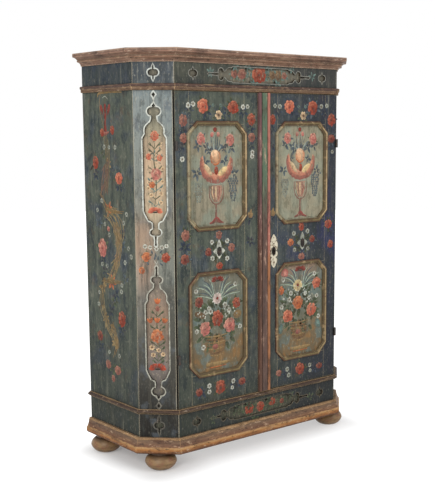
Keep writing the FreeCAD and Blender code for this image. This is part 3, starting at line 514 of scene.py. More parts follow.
def panel_moulding_material(name):
    low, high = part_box(name)
    middle = (low + high) / 2
    half_wide, half_tall = high.x - middle.x, high.z - middle.z
    material, place = new_material(name + "_paint")
    x, y, z = numbers_of(place)
    across, up = abs(x - middle.x), abs(z - middle.z)
    straight = greater(across - half_wide, up - half_tall)
    slanting = (across + up - (half_wide + half_tall - PANEL_CHAMFER)) * math.sqrt(0.5)
    inwards = greater(straight, slanting) * (-1 / MOULDING_WIDE)
    # painted highlight: pale bands on the upright sides, stronger on the right side and on the
    # upper panels
    upright = step(across - up, half_wide - half_tall - 0.012, half_wide - half_tall - 0.004)
    to_right = step(x, middle.x - 0.01, middle.x + 0.01)
    band = step(abs(inwards - 0.22 - to_right * 0.26), 0.09 + to_right * 0.05, 0.04)
    streaks = noise(place, 34.0, 4.0, 0.65)
    is_upper = "upper" in name
    colour = coated(laid_out(inwards + (noise(place, 70.0, 2.0) - 0.5) * 0.16,
                             (0.00, 66, 48, 40), (0.16, 108, 78, 56), (0.27, 74, 60, 46),
                             (0.42, 114, 98, 66), (0.58, 126, 112, 76), (0.70, 78, 62, 44),
                             (0.92, 92, 80, 58)),
                    (paint(206, 178, 138),
                     band * upright * ((0.65 + to_right * 0.2) * (0.9 if is_upper else 0.45))),
                    (paint(146, 142, 116), upright * (1 - to_right) * (0.55 * is_upper)),
                    (paint(84, 64, 48), step(streaks, 0.50, 0.32) * 0.8),
                    (paint(188, 160, 120), step(streaks, 0.54, 0.70) * 0.5))
    finish_material(material, colour, 0.4 + noise(place, 40.0) * 0.3, streaks, 0.0004)
    wear_material(material, name)


for name in on_both_sides("upper_moulding", "lower_moulding"):
    panel_moulding_material(name)

# %% [markdown]
# ## The batten
#
# Two beads stand either side of a flat strip. The left bead is rust and purple, the strip green
# above and brown below, and the right bead salmon down to the lock and orange from there.

# %% Batten
low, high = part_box("batten")
batten_paint, place = new_material("batten_paint")
x, y, z = numbers_of(place)
worn = noise(stretched(place, 1.0, 1.0, 0.2), 60.0, 5.0, 0.7)
share = (x - low.x) * (1 / (high.x - low.x))
level = z + (worn - 0.5) * 0.3
left_bead = mixed(paint(92, 66, 54), paint(104, 74, 74), step(level, 0.9, 1.3))
strip = mixed(paint(94, 74, 66), paint(86, 104, 84), step(level, 1.00, 1.35))
right_bead = mixed(paint(156, 104, 70), paint(168, 106, 92), step(level, 0.90, 1.02))
colour = coated(left_bead, (strip, step(share, 0.25, 0.27)), (right_bead, step(share, 0.74, 0.76)),
                (paint(64, 52, 46), step(worn, 0.49, 0.36) * 0.8),
                (paint(208, 172, 148), step(worn, 0.56, 0.70) * 0.55))
finish_material(batten_paint, colour, 0.4 + worn * 0.4, worn, 0.0005)
wear_material(batten_paint, "batten")

# %% [markdown]
# ## Bare wood and iron
#
# The feet are turned hardwood with worn stain, so their rings follow the distance from the foot's
# axis. Inside, the pine was never painted: it has only gone brown. The hinges, bolts and lock are
# forged iron, dark and slightly pitted.

# %% Feet
# painted shade: the top of each foot, under the overhanging base moulding, is darkened between
# these heights
FOOT_PAINTED_SHADE = (0.052, 0.072)  # m, the heights between which a foot darkens towards the base


def turned_material(name):
    """Stained hardwood whose rings follow the distance from the axis of the lathe."""
    low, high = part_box(name)
    material, place = new_material(name + "_wood")
    local = place.vector("SUBTRACT", place, (*((low + high) / 2).xy, 0))
    rings = noise(stretched(local, 0.25, 0.25, 1.0), 80.0, 4.0)
    worn = noise(local, 24.0, 4.0)
    colour = coated(paint(118, 92, 62), (paint(140, 110, 76), step(rings, 0.35, 0.65)),
                    (paint(122, 76, 62), step(worn, 0.50, 0.66) * 0.7),
                    (paint(70, 52, 38), step(numbers_of(local)[2], *FOOT_PAINTED_SHADE)),
                    (paint(74, 58, 42), step(worn, 0.46, 0.30) * 0.7))
    finish_material(material, colour, 0.34 + worn * 0.25, rings, 0.0005, specular=0.3)
    wear_material(material, name)


for name in ("foot_front_left", "foot_front_right", "foot_rear_left", "foot_rear_right"):
    turned_material(name)

# %% Pine
def wear_pine(name, stretch, *pieces):
    """Aged pine whose grain runs along the number that stretch makes small."""
    material, place = new_material(name)
    bent = stretched(place, *stretch)
    grain = noise(bent, 34.0, 5.0, 0.6)
    fibre = noise(bent, 210.0, 2.0)
    colour = coated(paint(148, 112, 76), (paint(112, 80, 52), step(grain, 0.42, 0.60)),
                    (paint(170, 134, 94), step(fibre, 0.55, 0.75) * 0.5),
                    (paint(82, 62, 46), step(noise(place, 7.0, 3.0), 0.52, 0.72) * 0.6))
    finish_material(material, colour, 0.62 + fibre * 0.2, grain + fibre * 0.3, 0.0005)
    wear_material(material, *pieces)


wear_pine("upright_pine", (1.0, 1.0, 0.05), "back_boards", *on_both_sides("door_post"))
wear_pine("level_pine", (0.05, 1.0, 1.0), "shelf_1", "shelf_2", "shelf_3", "cabinet_floor",
          "top_board", "base_floor", "head_rail", "sill_rail")
wear_pine("cleat_pine", (1.0, 0.05, 1.0), "shelf_cleats")

# %% Iron
iron, place = new_material("forged_iron")
rust = step(noise(place, 50.0, 4.0), 0.52, 0.68)
colour = mixed(paint(58, 54, 50), paint(92, 66, 50), rust * 0.7)
finish_material(iron, colour, 0.42 + rust * 0.4, noise(place, 160.0, 4.0), 0.0005,
                metallic=0.6, specular=0.5)
wear_material(iron, "hinge_pintles", "lock_case", "lock_bolt", "left_door_staples",
              "left_top_bolt", "left_bottom_bolt", *on_both_sides("door_leaves"))

escutcheon_iron, place = new_material("whitened_iron")
low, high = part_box("escutcheon")
worn = noise(place, 90.0, 4.0)
from_middle = stretched(place.vector("SUBTRACT", place, tuple((low + high) / 2)), 1.0, 0.0, 0.62)
from_keyhole = place.vector("LENGTH", from_middle, output=1) + (worn - 0.5) * 0.006
rubbed_dark = (0.0155, 0.0115)  # m from the middle of the keyhole
colour = coated(paint(206, 198, 176), (paint(120, 104, 84), step(worn, 0.50, 0.66)),
                (paint(92, 80, 68), rubbed_edges(place, 0.002) * 0.4),
                (paint(38, 33, 30), step(from_keyhole, *rubbed_dark)))
finish_material(escutcheon_iron, colour, 0.4 + worn * 0.3, worn, 0.0004, metallic=0.3)
wear_material(escutcheon_iron, "escutcheon")

# %% [markdown]
# ## Paint that stands on the boards
#
# The flowers are laid on in touches of the brush, and a touch is a real thing with a thickness, so
# each is a flat closed shape a few tenths of a millimetre high. A petal or a leaf is a daub, dark
# at its root and light at its tip. A stem or an outline is a ribbon, drawn out of its own end
# face step by step along its path. A colour attribute carries the paint, with an alpha that is 1
# on top and 0 where the shape meets the board. Where paint is thin or worn, the material shows the
# colour of the board below, which it works out at the same place.

# %% Daubs and ribbons
LAYER = 0.08  # mm, the thickness of one coat
TOUCHES = 40  # steps in one coat, so that no two touches that overlap lie in one plane
SINK = 0.02  # mm, by which a touch is bedded in the board
CROWN = 0.74  # width of a daub's top, where its foot is 1
RIBBON_CROWN = 0.7  # the same for a ribbon
SHEET = 1500  # points on a full sheet


class Painting:
    """What is painted on one flat board. Places and sizes are in millimetres on that board."""

    def __init__(self, name, origin, outward, seed):
        up, outward = Vector((0, 0, 1)), Vector(outward)
        axes = Matrix((up.cross(outward), up, outward)).transposed()
        self.board = Matrix.Translation(origin) @ axes.to_4x4() @ Matrix.Scale(MM, 4)
        self.name = name
        self.hand = random.Random(seed)
        self.touches = 0
        self.sheets = []
        self.new_sheet()

    def between(self, low, high):
        return self.hand.uniform(low, high)

    def new_sheet(self):
        self.shape = bmesh.new()
        self.tint = self.shape.verts.layers.float_color.new("paint")

    def height_of(self, layer):
        self.touches += 1
        return LAYER * (layer + self.touches % TOUCHES / TOUCHES)

    def lay_aside(self, full):
        """Stores the touches made so far: a nearly empty sheet is the quickest to paint on."""
        if len(self.shape.verts) > full:
            self.sheets.append(bpy.data.meshes.new(self.name))
            self.shape.to_mesh(self.sheets[-1])
            self.shape.free()
            self.new_sheet()

    def daub(self, u, v, wide, tall, tone, turn=0.0, layer=1, taper=0.0, sides=9, ball=False):
        """One touch, by its half width and half height, turned anticlockwise. tone is a light and
        a dark colour: light at the far end, or in the middle of a ball."""
        self.lay_aside(SHEET)
        made = bmesh.ops.create_cone(self.shape, cap_ends=True, cap_tris=True, segments=sides,
                                     radius1=1.0, radius2=CROWN, depth=1.0)["verts"]
        light, dark = tone
        height = self.height_of(layer)
        strength = self.between(0.85, 1.12)
        for vert in made:
            on_top = vert.co.z > 0
            out = vert.co.xy.length
            share = 1.05 - out if ball else 0.5 + 0.6 * vert.co.y
            colour = blend(dark, light, min(1.0, max(0.0, share)))
            vert.co.x *= 1 - taper * vert.co.y
            vert.co.z = height if on_top else -SINK
            cover = (1.0 if out < 0.5 else 0.72) if on_top else 0.0
            vert[self.tint] = (*[part * strength for part in colour[:3]], cover)
        place = Matrix.Translation((u, v, 0)) @ Matrix.Rotation(math.radians(turn), 4, "Z")
        place = self.board @ place @ Matrix.Diagonal((wide, tall, 1.0, 1.0))
        bmesh.ops.transform(self.shape, matrix=place, verts=made)

    def spoke(self, u, v, distance, angle, wide, length, tone, layer=1, taper=0.3, tall=1.0):
        """A daub that points away from a middle, such as a petal or a leaf."""
        reach = distance + length / 2
        self.daub(u + reach * math.cos(math.radians(angle)),
                  v + reach * math.sin(math.radians(angle)) * tall,
                  wide / 2, length / 2, tone, angle - 90, layer, taper)

    def ribbon(self, path, halves, tone, layer=1, closed=False):
        """A strip along a path, by its half width at each point, light on its left side."""
        self.lay_aside(SHEET)
        light, dark = tone
        height = self.height_of(layer)
        places = []
        for index, here in enumerate(path):
            came = here - path[index - 1] if index or closed else path[1] - here
            last = index == len(path) - 1 and not closed
            goes = came if last else path[(index + 1) % len(path)] - here
            run = came.normalized() + goes.normalized()
            turn = Matrix.Rotation(math.atan2(run.y, run.x) - math.pi / 2, 4, "Z")
            wide = halves[index] / max(0.6, run.length / 2)
            places.append(self.board @ Matrix.Translation(here) @ turn
                          @ Matrix.Diagonal((wide, 1.0, 1.0, 1.0)))
        section = [self.shape.verts.new((x, 0, z)) for x, z in
                   ((-1, -SINK), (-RIBBON_CROWN, height), (RIBBON_CROWN, height), (1, -SINK))]
        for vert, colour, cover in zip(section, (light, light, dark, dark), (0, 1, 1, 0)):
            vert[self.tint] = (*colour[:3], cover)
        first = end = self.shape.faces.new(section)
        bmesh.ops.transform(self.shape, matrix=places[0], verts=section)
        for before, after in zip(places, places[1:]):
            made = bmesh.ops.extrude_face_region(self.shape, geom=[end])["geom"]
            end = next(part for part in made if isinstance(part, bmesh.types.BMFace))
            bmesh.ops.transform(self.shape, matrix=after @ before.inverted(),
                                verts=list(end.verts))
        if closed:
            rims = [*first.edges, *end.edges]
            bmesh.ops.delete(self.shape, geom=[first, end], context="FACES_ONLY")
            bmesh.ops.bridge_loops(self.shape, edges=rims)

    def stroke(self, points, width, tone, layer=1):
        """A ribbon smoothed through the points. width is one number, or one for each point."""
        if not isinstance(width, list):
            width = [width * 0.6] + [width] * (len(points) - 2) + [width * 0.35]
        marks = [Vector((*point, 0)) for point in points]
        marks = [marks[0] * 2 - marks[1]] + marks + [marks[-1] * 2 - marks[-2]]
        path, halves = [], []
        for index in range(len(points) - 1):
            before, here, there, after = marks[index:index + 4]
            count = max(2, round((there - here).length / 9))
            path += interpolate_bezier(here, here + (there - before) / 6,
                                       there - (after - here) / 6, there, count + 1)[:count]
            grow = (width[index + 1] - width[index]) / count
            halves += [(width[index] + grow * part) / 2 * self.between(0.85, 1.15)
                       for part in range(count)]
        self.ribbon(path + [marks[-2]], halves + [width[-1] / 2], tone, layer)

    def finish(self, body, material):
        """Makes the piece, and lets it ride on the body that the board belongs to."""
        self.lay_aside(0)
        whole = bmesh.new()
        for sheet in self.sheets:
            whole.from_mesh(sheet)
            bpy.data.meshes.remove(sheet)
        bmesh.ops.recalc_face_normals(whole, faces=whole.faces)
        mesh = bpy.data.meshes.new(self.name)
        whole.to_mesh(mesh)
        whole.free()
        mesh.materials.append(material)
        piece = bpy.data.objects.new(self.name, mesh)
        bpy.context.scene.collection.objects.link(piece)
        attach(piece, body)
        print(self.name, len(mesh.polygons), "faces")


# %% The colours in the painter's pots, light and dark
CORAL = paint(216, 128, 98), paint(148, 60, 44)
RED = paint(178, 76, 54), paint(106, 40, 30)
DARK_RED = paint(140, 60, 50), paint(86, 38, 34)
PINK = paint(210, 146, 130), paint(150, 70, 66)
ORANGE = paint(206, 122, 74), paint(144, 70, 44)
FADED = paint(162, 102, 88), paint(110, 68, 60)
CREAM = paint(222, 196, 156), paint(176, 142, 108)
WHITE = paint(206, 206, 192), paint(150, 152, 140)
DULL_WHITE = paint(172, 174, 160), paint(124, 128, 116)
LEAF = paint(92, 104, 76), paint(46, 56, 44)
DULL_LEAF = paint(108, 108, 84), paint(66, 70, 54)
BLUE_LEAF = paint(96, 108, 112), paint(50, 60, 68)
TEAL = paint(116, 140, 130), paint(70, 90, 86)
OCHRE = paint(160, 134, 92), paint(112, 90, 58)
BROWN = paint(128, 100, 70), paint(88, 66, 48)
FOLIAGE = paint(80, 86, 60), paint(36, 42, 32)
NIGHT = paint(60, 72, 86), paint(32, 38, 48)
DARK = paint(54, 48, 42), paint(38, 34, 32)


def painted_material(name, under):
    """The touches' own colour over a board whose colour the function called under gives."""
    material, place = new_material(name)
    brushed = place.node("Attribute", {"attribute_name": "paint"})
    cover = place.node("Attribute", {"attribute_name": "paint"}, output=3)
    ragged = (noise(place, 230.0, 3.0) - 0.5) * 0.7
    mask = step(cover + ragged, 0.12, 0.72)
    worn = noise(stretched(place, 1.0, 1.0, 0.4), 75.0, 5.0, 0.75)
    mask = mask * (1 - step(worn, 0.52, 0.68) * 0.85)
    bristles = noise(place, 110.0, 4.0, 0.7)
    blotches = noise(place, 48.0, 3.0)
    colour = coated(brushed, (paint(74, 58, 50), step(blotches, 0.50, 0.34) * 0.45),
                    (paint(64, 52, 44), step(bristles, 0.50, 0.34) * 0.40),
                    (paint(224, 196, 166), step(bristles, 0.58, 0.74) * 0.30))
    colour = mixed(under(place), colour, mask)
    return finish_material(material, colour, old_paint_gloss(place), bristles, 0.0004)


over_ground = painted_material("flowers_on_ground", ground_colour)
over_cant = painted_material("flowers_on_cant", cant_colour)
over_recess = painted_material("flowers_in_recess", recess_colour)
over_panel = painted_material("flowers_on_panel", panel_colour)

# %% [markdown]
# ## The painter's flowers
#
# All the flowers on such furniture come from a few brush habits. A rose is a dark ball with two
# rings of petals, light on the side that the painter's light came from. A daisy is a ring of white
# dabs round an eye, and a tulip is three long petals from one foot. Each function paints one.

# %% Flowers
def leaves(art, u, v, distance, count, length, tone, start=20.0):
    for index in range(count):
        angle = start + 360 * index / count + art.between(-22, 22)
        reach = length * art.between(0.65, 1.15)
        art.spoke(u, v, distance, angle, reach * 0.45, reach, tone, taper=0.45)


def rose(art, u, v, size, tall, tone, leaf_count, leaf_tone=LEAF):
    light, dark = tone
    leaves(art, u, v, size * 0.66, leaf_count, size * 0.8, leaf_tone, art.between(0, 90))
    art.daub(u, v, size * 0.9, size * 0.9 * tall, (blend(dark, light, 0.6), dark), layer=2,
             sides=14, ball=True)
    start = art.between(0, 60)
    root = blend(dark, light, 0.15)
    for ring, (distance, length, count) in enumerate(((0.34, 0.60, 9), (0.08, 0.50, 6))):
        for index in range(count):
            angle = start + 360 * (index + 0.5 * ring) / count + art.between(-12, 12)
            lit = 0.5 + 0.5 * math.cos(math.radians(angle - 125))
            tip = blend(blend(dark, light, 0.45), blend(light, CREAM[0], 0.2), lit)
            art.spoke(u, v, size * distance, angle, size * 0.60,
                      size * length * art.between(0.85, 1.1), (tip, root), layer=3 + ring,
                      taper=-0.2, tall=tall)
    art.daub(u, v - size * 0.05, size * 0.15, size * 0.15, (dark, blend(dark, DARK[0], 0.5)),
             layer=5)


def daisy(art, u, v, size, tone, eye, petals=6):
    art.daub(u, v, size * 0.8, size * 0.8, DARK, layer=1, ball=True)
    start = art.between(0, 60)
    for index in range(petals):
        angle = start + 360 * index / petals + art.between(-8, 8)
        art.spoke(u, v, size * 0.16, angle, size * 0.84, size * 0.84, tone, layer=3, taper=-0.2)
    art.daub(u, v, size * 0.28, size * 0.28, eye, layer=4, ball=True)


def blossom(art, u, v, size, tone=WHITE, eye=BROWN):
    daisy(art, u, v, size * art.between(0.9, 1.15), tone, eye)


def tulip(art, u, v, size, turn):
    """Stands on its foot at (u, v) and opens in the direction of turn."""
    for lean, layer in ((-24, 2), (24, 2), (0, 3)):
        art.spoke(u, v, 0.0, turn + lean, size * 0.5, size * 1.25, ORANGE, layer=layer, taper=0.1)


def half_flower(art, u, v, half_width, rise, tone):
    """A flower seen from the side: petals fanned over a level foot."""
    for index in range(9):
        angle = 4 + 172 * index / 8
        reach = math.hypot(half_width * math.cos(math.radians(angle)),
                           rise * math.sin(math.radians(angle)))
        art.spoke(u, v, reach * 0.15, angle, rise * 0.75, reach * 0.9, tone, layer=2 + index % 2,
                  taper=-0.2)
    art.daub(u, v, half_width * 0.4, rise * 0.20, DARK, layer=4)


def bunch(art, u, v, half_width, height, tone):
    """Grapes that hang from (u, v), fewer in each row down."""
    size = 7.0
    rows = round(height / (size * 1.6))
    for row in range(rows):
        fall = row / rows
        wide = half_width * (1 - 0.7 * fall * fall) * art.between(0.85, 1.1)
        count = max(1, round(2 * wide / (size * 1.9)))
        for index in range(count):
            across = (index + 0.5) / count * 2 - 1
            art.daub(u + across * wide + art.between(-2, 2), v - fall * height, size, size, tone,
                     layer=2 + (row + index) % 3, sides=7, ball=True)


def sheaf(art, points, spread, count, width, tone, layer=1):
    """Strokes side by side that part and meet, with blades that fan out, like a bundle of reeds."""
    darker = blend(tone[0], tone[1], 0.7), tone[1]
    for index in range(count):
        share = (2 * index / (count - 1) - 1) * spread
        path = [(u + share * art.between(0.3, 1.5), v + share * 0.5 + art.between(-12, 12))
                for u, v in points]
        art.stroke(path, width * art.between(0.6, 1.1), (tone, darker)[index % 2],
                   layer + index % 2)
    for (u, v), (after_u, after_v) in zip(points, points[1:]):
        angle = math.degrees(math.atan2(after_v - v, after_u - u))
        for lean in (-34, -18, 16, 32):
            art.spoke(u + art.between(-6, 6), v + art.between(-14, 14), 4, angle + lean,
                      width * 1.3, spread * 2.2, darker if lean > 0 else tone, layer, taper=0.5)


# %% Door frames
front_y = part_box("left_hinge_stile")[0].y
panel_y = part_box("left_upper_panel")[0].y
TO_FRONT = (0, -1, 0)
ROSES_ON_FRAME = {
    "left_door": [
        (-333, 1612, 34, 1.15, CORAL), (-163, 1608, 36, 1.0, RED), (-440, 1550, 27, 1.2, FADED),
        (-57, 1555, 28, 1.15, RED), (-440, 1475, 23, 1.1, FADED), (-57, 1475, 25, 1.0, FADED),
        (-250, 1044, 20, 1.2, FADED), (-310, 972, 21, 1.1, DARK_RED), (-178, 982, 22, 1.1, FADED),
        (-248, 906, 21, 0.9, RED), (-435, 1055, 28, 1.0, FADED), (-440, 950, 28, 1.0, DARK_RED),
        (-370, 340, 22, 0.95, DARK_RED), (-248, 345, 34, 1.15, RED),
        (-120, 350, 25, 0.75, DARK_RED),
    ],
    "right_door": [
        (175, 1615, 35, 1.0, CORAL), (325, 1612, 38, 1.0, RED), (70, 1555, 21, 1.5, RED),
        (450, 1555, 32, 1.1, RED), (450, 1465, 28, 0.9, DARK_RED), (255, 1050, 20, 1.3, RED),
        (185, 978, 22, 0.9, ORANGE), (325, 985, 22, 0.9, DARK_RED), (255, 905, 24, 0.8, FADED),
        (435, 1050, 28, 0.9, RED), (450, 950, 23, 1.0, RED), (110, 350, 20, 0.9, FADED),
        (250, 350, 35, 1.0, RED), (380, 345, 24, 0.65, DARK_RED),
    ],
}
BLOSSOMS_ON_FRAME = {
    "left_door": [
        (-412, 1614), (-385, 1620), (-107, 1610), (-80, 1612), (-447, 1385), (-52, 1408),
        (-54, 1390), (-290, 1015), (-203, 1015), (-287, 942), (-203, 935), (-312, 360),
        (-312, 332), (-172, 360), (-178, 330),
    ],
    "right_door": [
        (85, 1618), (115, 1615), (382, 1618), (418, 1622), (458, 1402), (205, 1020), (295, 1025),
        (210, 940), (297, 940), (165, 360), (175, 330), (315, 358), (318, 330),
    ],
}


def frame_flowers(art, body, middle, tone):
    """The flowers on a door's stiles and rails. middle is the middle of the panels."""
    for u, v, size, tall, colour in ROSES_ON_FRAME[body]:
        rose(art, u, v, size, tall, colour, 8, art.hand.choice((NIGHT, FOLIAGE, BLUE_LEAF)))
    for u, v in BLOSSOMS_ON_FRAME[body]:
        blossom(art, u, v, 12, tone)
    for u in (-22, 22):
        blossom(art, middle + u, 1616, 8, TEAL)
    daisy(art, middle + 9, 1574, 22, CREAM, BROWN)
    leaves(art, middle + 8, 1574, 16, 6, 26, LEAF)
    for u, v, count in ((-150, 1590, 4), (150, 1588, 4), (-188, 1512, 4), (190, 1514, 4),
                        (-190, 1440, 3), (192, 1436, 3), (-185, 1002, 5), (188, 1002, 5),
                        (-60, 1590, 3), (56, 1590, 3), (-100, 338, 4), (92, 340, 4)):
        leaves(art, middle + u, v, 3, count + 1, 32, NIGHT, art.between(0, 90))
    away = 188 if middle < 0 else -186
    for angle, length in ((58, 30), (82, 46), (108, 34)):
        art.spoke(middle + away, 1108, 0, angle, 20, length, (OCHRE[0], BROWN[0]), layer=3)
    leaves(art, middle + away, 1104, 0, 3, 30, NIGHT, 250)
    heart = (middle + 6, 972)
    for angle, length in ((0, 32), (90, 52), (180, 32), (270, 34)):
        art.spoke(*heart, 4, angle, 30, length, tone, layer=2, taper=0.7)
    # painted shadow: a dark daub over the drop-shaped hole in the middle rail
    art.daub(heart[0] + 1, heart[1] - 2, 17, 28, (DARK[1], DARK[1]), layer=3, sides=10)
    for angle in (45, 135, 225, 315):
        leaves(art, heart[0] + 40 * math.cos(math.radians(angle)),
               heart[1] + 38 * math.sin(math.radians(angle)), 0, 5, 32, FOLIAGE, angle)
        art.stroke([heart, (heart[0] + 62 * math.cos(math.radians(angle - 12)),
                            heart[1] + 60 * math.sin(math.radians(angle - 12)))], 5, NIGHT)


# %% Upper panels
def bowl_of_fruit(art):
    """A melon cut open in a footed glass, with a peach on it and three flowers above."""
    pale = paint(158, 166, 156), paint(112, 124, 120)
    for lean, top, tone in ((-62, 1436, pale), (-50, 1452, pale), (-38, 1462, pale),
                            (-28, 1482, BLUE_LEAF), (-14, 1492, pale), (0, 1486, BLUE_LEAF),
                            (12, 1484, BLUE_LEAF), (24, 1466, BLUE_LEAF), (38, 1450, pale),
                            (52, 1438, BLUE_LEAF)):
        art.stroke([(lean * 0.3 - 4, 1412), (lean * 0.7 - 4, 1432), (lean - 2, top)], 9, tone)
    for u, v in ((-54, 1430), (-39, 1415), (46, 1425), (88, 1430), (-60, 1372), (46, 1372),
                 (-100, 1440), (60, 1448)):
        leaves(art, u, v, 0, 4, 32, BLUE_LEAF, art.between(0, 90))
    for u in (-23, 12):
        art.daub(u, 1489, 11, 14, PINK, u, layer=2)
    art.daub(-6, 1510, 13, 13, DARK_RED, layer=3, ball=True)
    rose(art, -84, 1470, 26, 1.3, PINK, 4, BLUE_LEAF)
    rose(art, 80, 1465, 28, 1.25, PINK, 4, DULL_LEAF)
    art.daub(-4, 1388, 36, 40, (paint(226, 178, 136), paint(158, 96, 70)), layer=2, sides=16,
             ball=True)
    art.daub(-8, 1404, 26, 22, (paint(232, 196, 158), paint(206, 158, 122)), layer=3, sides=12)
    art.stroke([(-30, 1372), (-4, 1356), (24, 1370)], 10, ORANGE, 4)
    rim = [(-84, 1390), (-76, 1345), (-50, 1311), (-2, 1297), (46, 1309), (76, 1340), (88, 1384)]
    rind = paint(178, 118, 98), paint(138, 86, 76)
    flesh = paint(206, 148, 120), paint(176, 112, 90)
    art.stroke(rim, [8, 36, 52, 58, 52, 36, 8], rind, 3)
    art.stroke([(u * 0.92, v + 7) for u, v in rim], [5, 20, 30, 34, 30, 20, 5], flesh, 4)
    art.daub(-47, 1335, 40, 14, CREAM, -50, 5, sides=14)
    art.daub(36, 1327, 38, 17, (paint(230, 206, 150), paint(196, 156, 110)), 35, 5, sides=14)
    art.daub(-1, 1330, 13, 24, RED, layer=5)
    art.stroke([(-42, 1272), (0, 1270), (40, 1273)], 5, DULL_WHITE, 6)
    glass = paint(166, 128, 108), paint(132, 102, 88)
    line = paint(132, 96, 84), paint(110, 78, 68)
    art.stroke([(-1, 1266), (-1, 1232), (-1, 1192)], [74, 72, 36], glass, 2)
    for across, wide in ((-24, 7), (-5, 12), (16, 8)):
        art.stroke([(across, 1262), (across, 1232), (across * 0.6, 1202)],
                   [wide, wide, wide / 2], CREAM if across < 0 else FADED, 3)
    art.stroke([(-41, 1266), (-39, 1216), (-20, 1188), (-1, 1182), (18, 1188), (37, 1216),
                (40, 1266)], 7, line, 4)
    art.stroke([(-3, 1182), (-4, 1150), (-3, 1118)], [10, 13, 12], line, 3)
    art.stroke([(-40, 1097), (-18, 1104), (-2, 1114), (16, 1104), (38, 1097)],
               [8, 16, 30, 16, 8], (PINK[1], line[1]), 4)
    bunch(art, 94, 1292, 28, 108, BLUE_LEAF)
    bunch(art, -100, 1275, 24, 88, (paint(136, 142, 130), paint(104, 110, 100)))
    leaves(art, 104, 1316, 2, 5, 34, BLUE_LEAF, 20)
    leaves(art, -108, 1322, 2, 5, 32, BLUE_LEAF, 60)
    for u in (-112, -66, 66, 108):
        art.stroke([(u - 14, 1094), (u + 14, 1091)], 6, DULL_LEAF)


# %% Lower panels
LOWER_BOUQUETS = {
    "left_door": {
        "roses": [(-104, 750, 27, 1.1, DARK_RED), (111, 725, 27, 1.1, RED), (-1, 665, 37, 1.2, RED),
                  (-71, 625, 35, 1.15, PINK), (71, 625, 40, 1.05, PINK)],
        "daisy": (-1, 757, 28, (paint(218, 202, 192), paint(168, 142, 132))),
        "blossoms": [(-49, 715), (43, 722), (66, 695), (-69, 700), (-39, 700), (-119, 618),
                     (131, 612), (-82, 540), (-120, 800), (104, 812)],
        "patches": [(-99, 690, 38, 18, BROWN), (116, 670, 30, 24, OCHRE)],
    },
    "right_door": {
        "roses": [(110, 765, 33, 1.0, CORAL), (-122, 748, 20, 1.3, ORANGE),
                  (-15, 680, 40, 0.95, ORANGE), (-80, 620, 38, 0.95, CORAL),
                  (75, 635, 38, 1.05, CORAL)],
        "daisy": (-15, 765, 32, (paint(224, 206, 158), paint(176, 146, 100))),
        "blossoms": [(-60, 730), (-70, 700), (35, 720), (60, 695), (-120, 668), (112, 700),
                     (-110, 800), (96, 812), (124, 596)],
        "patches": [(-100, 830, 28, 26, PINK), (-126, 562, 20, 30, TEAL), (120, 562, 20, 30, TEAL)],
    },
}


def basket_of_flowers(art, bouquet):
    """A bouquet in a woven basket, with feathery sprays at its top corners."""
    art.stroke([(-66, 455), (0, 450), (68, 457)], 34, OCHRE, 1)
    art.stroke([(-46, 440), (50, 442)], 10, ORANGE, 2)
    art.daub(-8, 545, 66, 58, (paint(150, 118, 76), BROWN[1]), layer=1, sides=14, ball=True)
    for row in range(7):
        level = 494 + row * 15
        half = 36 + row * 4.5
        tone = (OCHRE, BROWN)[row % 2]
        art.stroke([(-8 - half, level + 3), (-8, level - 3), (half - 8, level + 3)], 10, tone, 2)
    for u in (-50, -26, -2, 22, 46):
        art.stroke([(u * 0.6 - 8, 490), (u - 8, 590)], 6, BROWN, 3)
    art.daub(-14, 535, 20, 16, FADED, layer=4)
    for u, v, wide, tall, tone in bouquet["patches"]:
        art.daub(u, v, wide, tall, tone, art.between(-30, 30), 1, sides=12, ball=True)
    spray = paint(176, 190, 168), paint(116, 132, 118)
    for side in (-1, 1):
        for index in range(8):
            angle = math.radians(82 - index * 10 + art.between(-4, 4))
            reach = 100 + (index % 3) * 12
            across, up = side * reach * math.cos(angle), reach * math.sin(angle) * 0.86
            art.stroke([(side * 16, 752), (side * 16 + across * 0.5, 756 + up * 0.72),
                        (side * 20 + across, 756 + up)], 7, spray if index % 2 else BLUE_LEAF,
                       1 + index % 2)
    for lean, tone in ((-40, BLUE_LEAF), (-26, DULL_WHITE), (-12, BLUE_LEAF), (4, BLUE_LEAF),
                       (18, DULL_WHITE), (34, DULL_WHITE)):
        art.stroke([(lean * 0.4, 775), (lean, 832)], 6, tone, 2)
    half_flower(art, 2, 836, 38, 18, DARK_RED)
    for distance, count, level in ((14, 12, 705), (40, 14, 690), (64, 17, 662), (88, 19, 655),
                                   (36, 12, 615), (98, 13, 640)):
        leaves(art, -2, level, distance, count, 46, (FOLIAGE, LEAF)[count % 2], count * 9)
    for index in range(26):
        angle = math.radians(art.between(-20, 200))
        art.daub(art.between(40, 118) * math.cos(angle),
                 690 + art.between(30, 90) * math.sin(angle), 4.5, 5.5, WHITE, layer=4, sides=6)
    for u, v in bouquet["blossoms"]:
        blossom(art, u, v, 13)
    for across, up, size, tall, tone in bouquet["roses"]:
        rose(art, across, up, size, tall, tone, 8, FOLIAGE)
    u, v, size, tone = bouquet["daisy"]
    daisy(art, u, v, size, tone, DARK_RED, 8)


for number, (body, side) in enumerate((("left_door", "left_"), ("right_door", "right_"))):
    low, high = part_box(side + "upper_moulding")
    middle = (low.x + high.x) / 2
    art = Painting(body + "_frame_flowers", (0, front_y, 0), TO_FRONT, number)
    frame_flowers(art, body, middle / MM, (WHITE, DULL_WHITE)[number])
    art.finish(body, over_ground)
    art = Painting(body + "_panel_pictures", (middle, panel_y, 0), TO_FRONT, 10 + number)
    bowl_of_fruit(art)
    basket_of_flowers(art, LOWER_BOUQUETS[body])
    art.finish(body, over_panel)

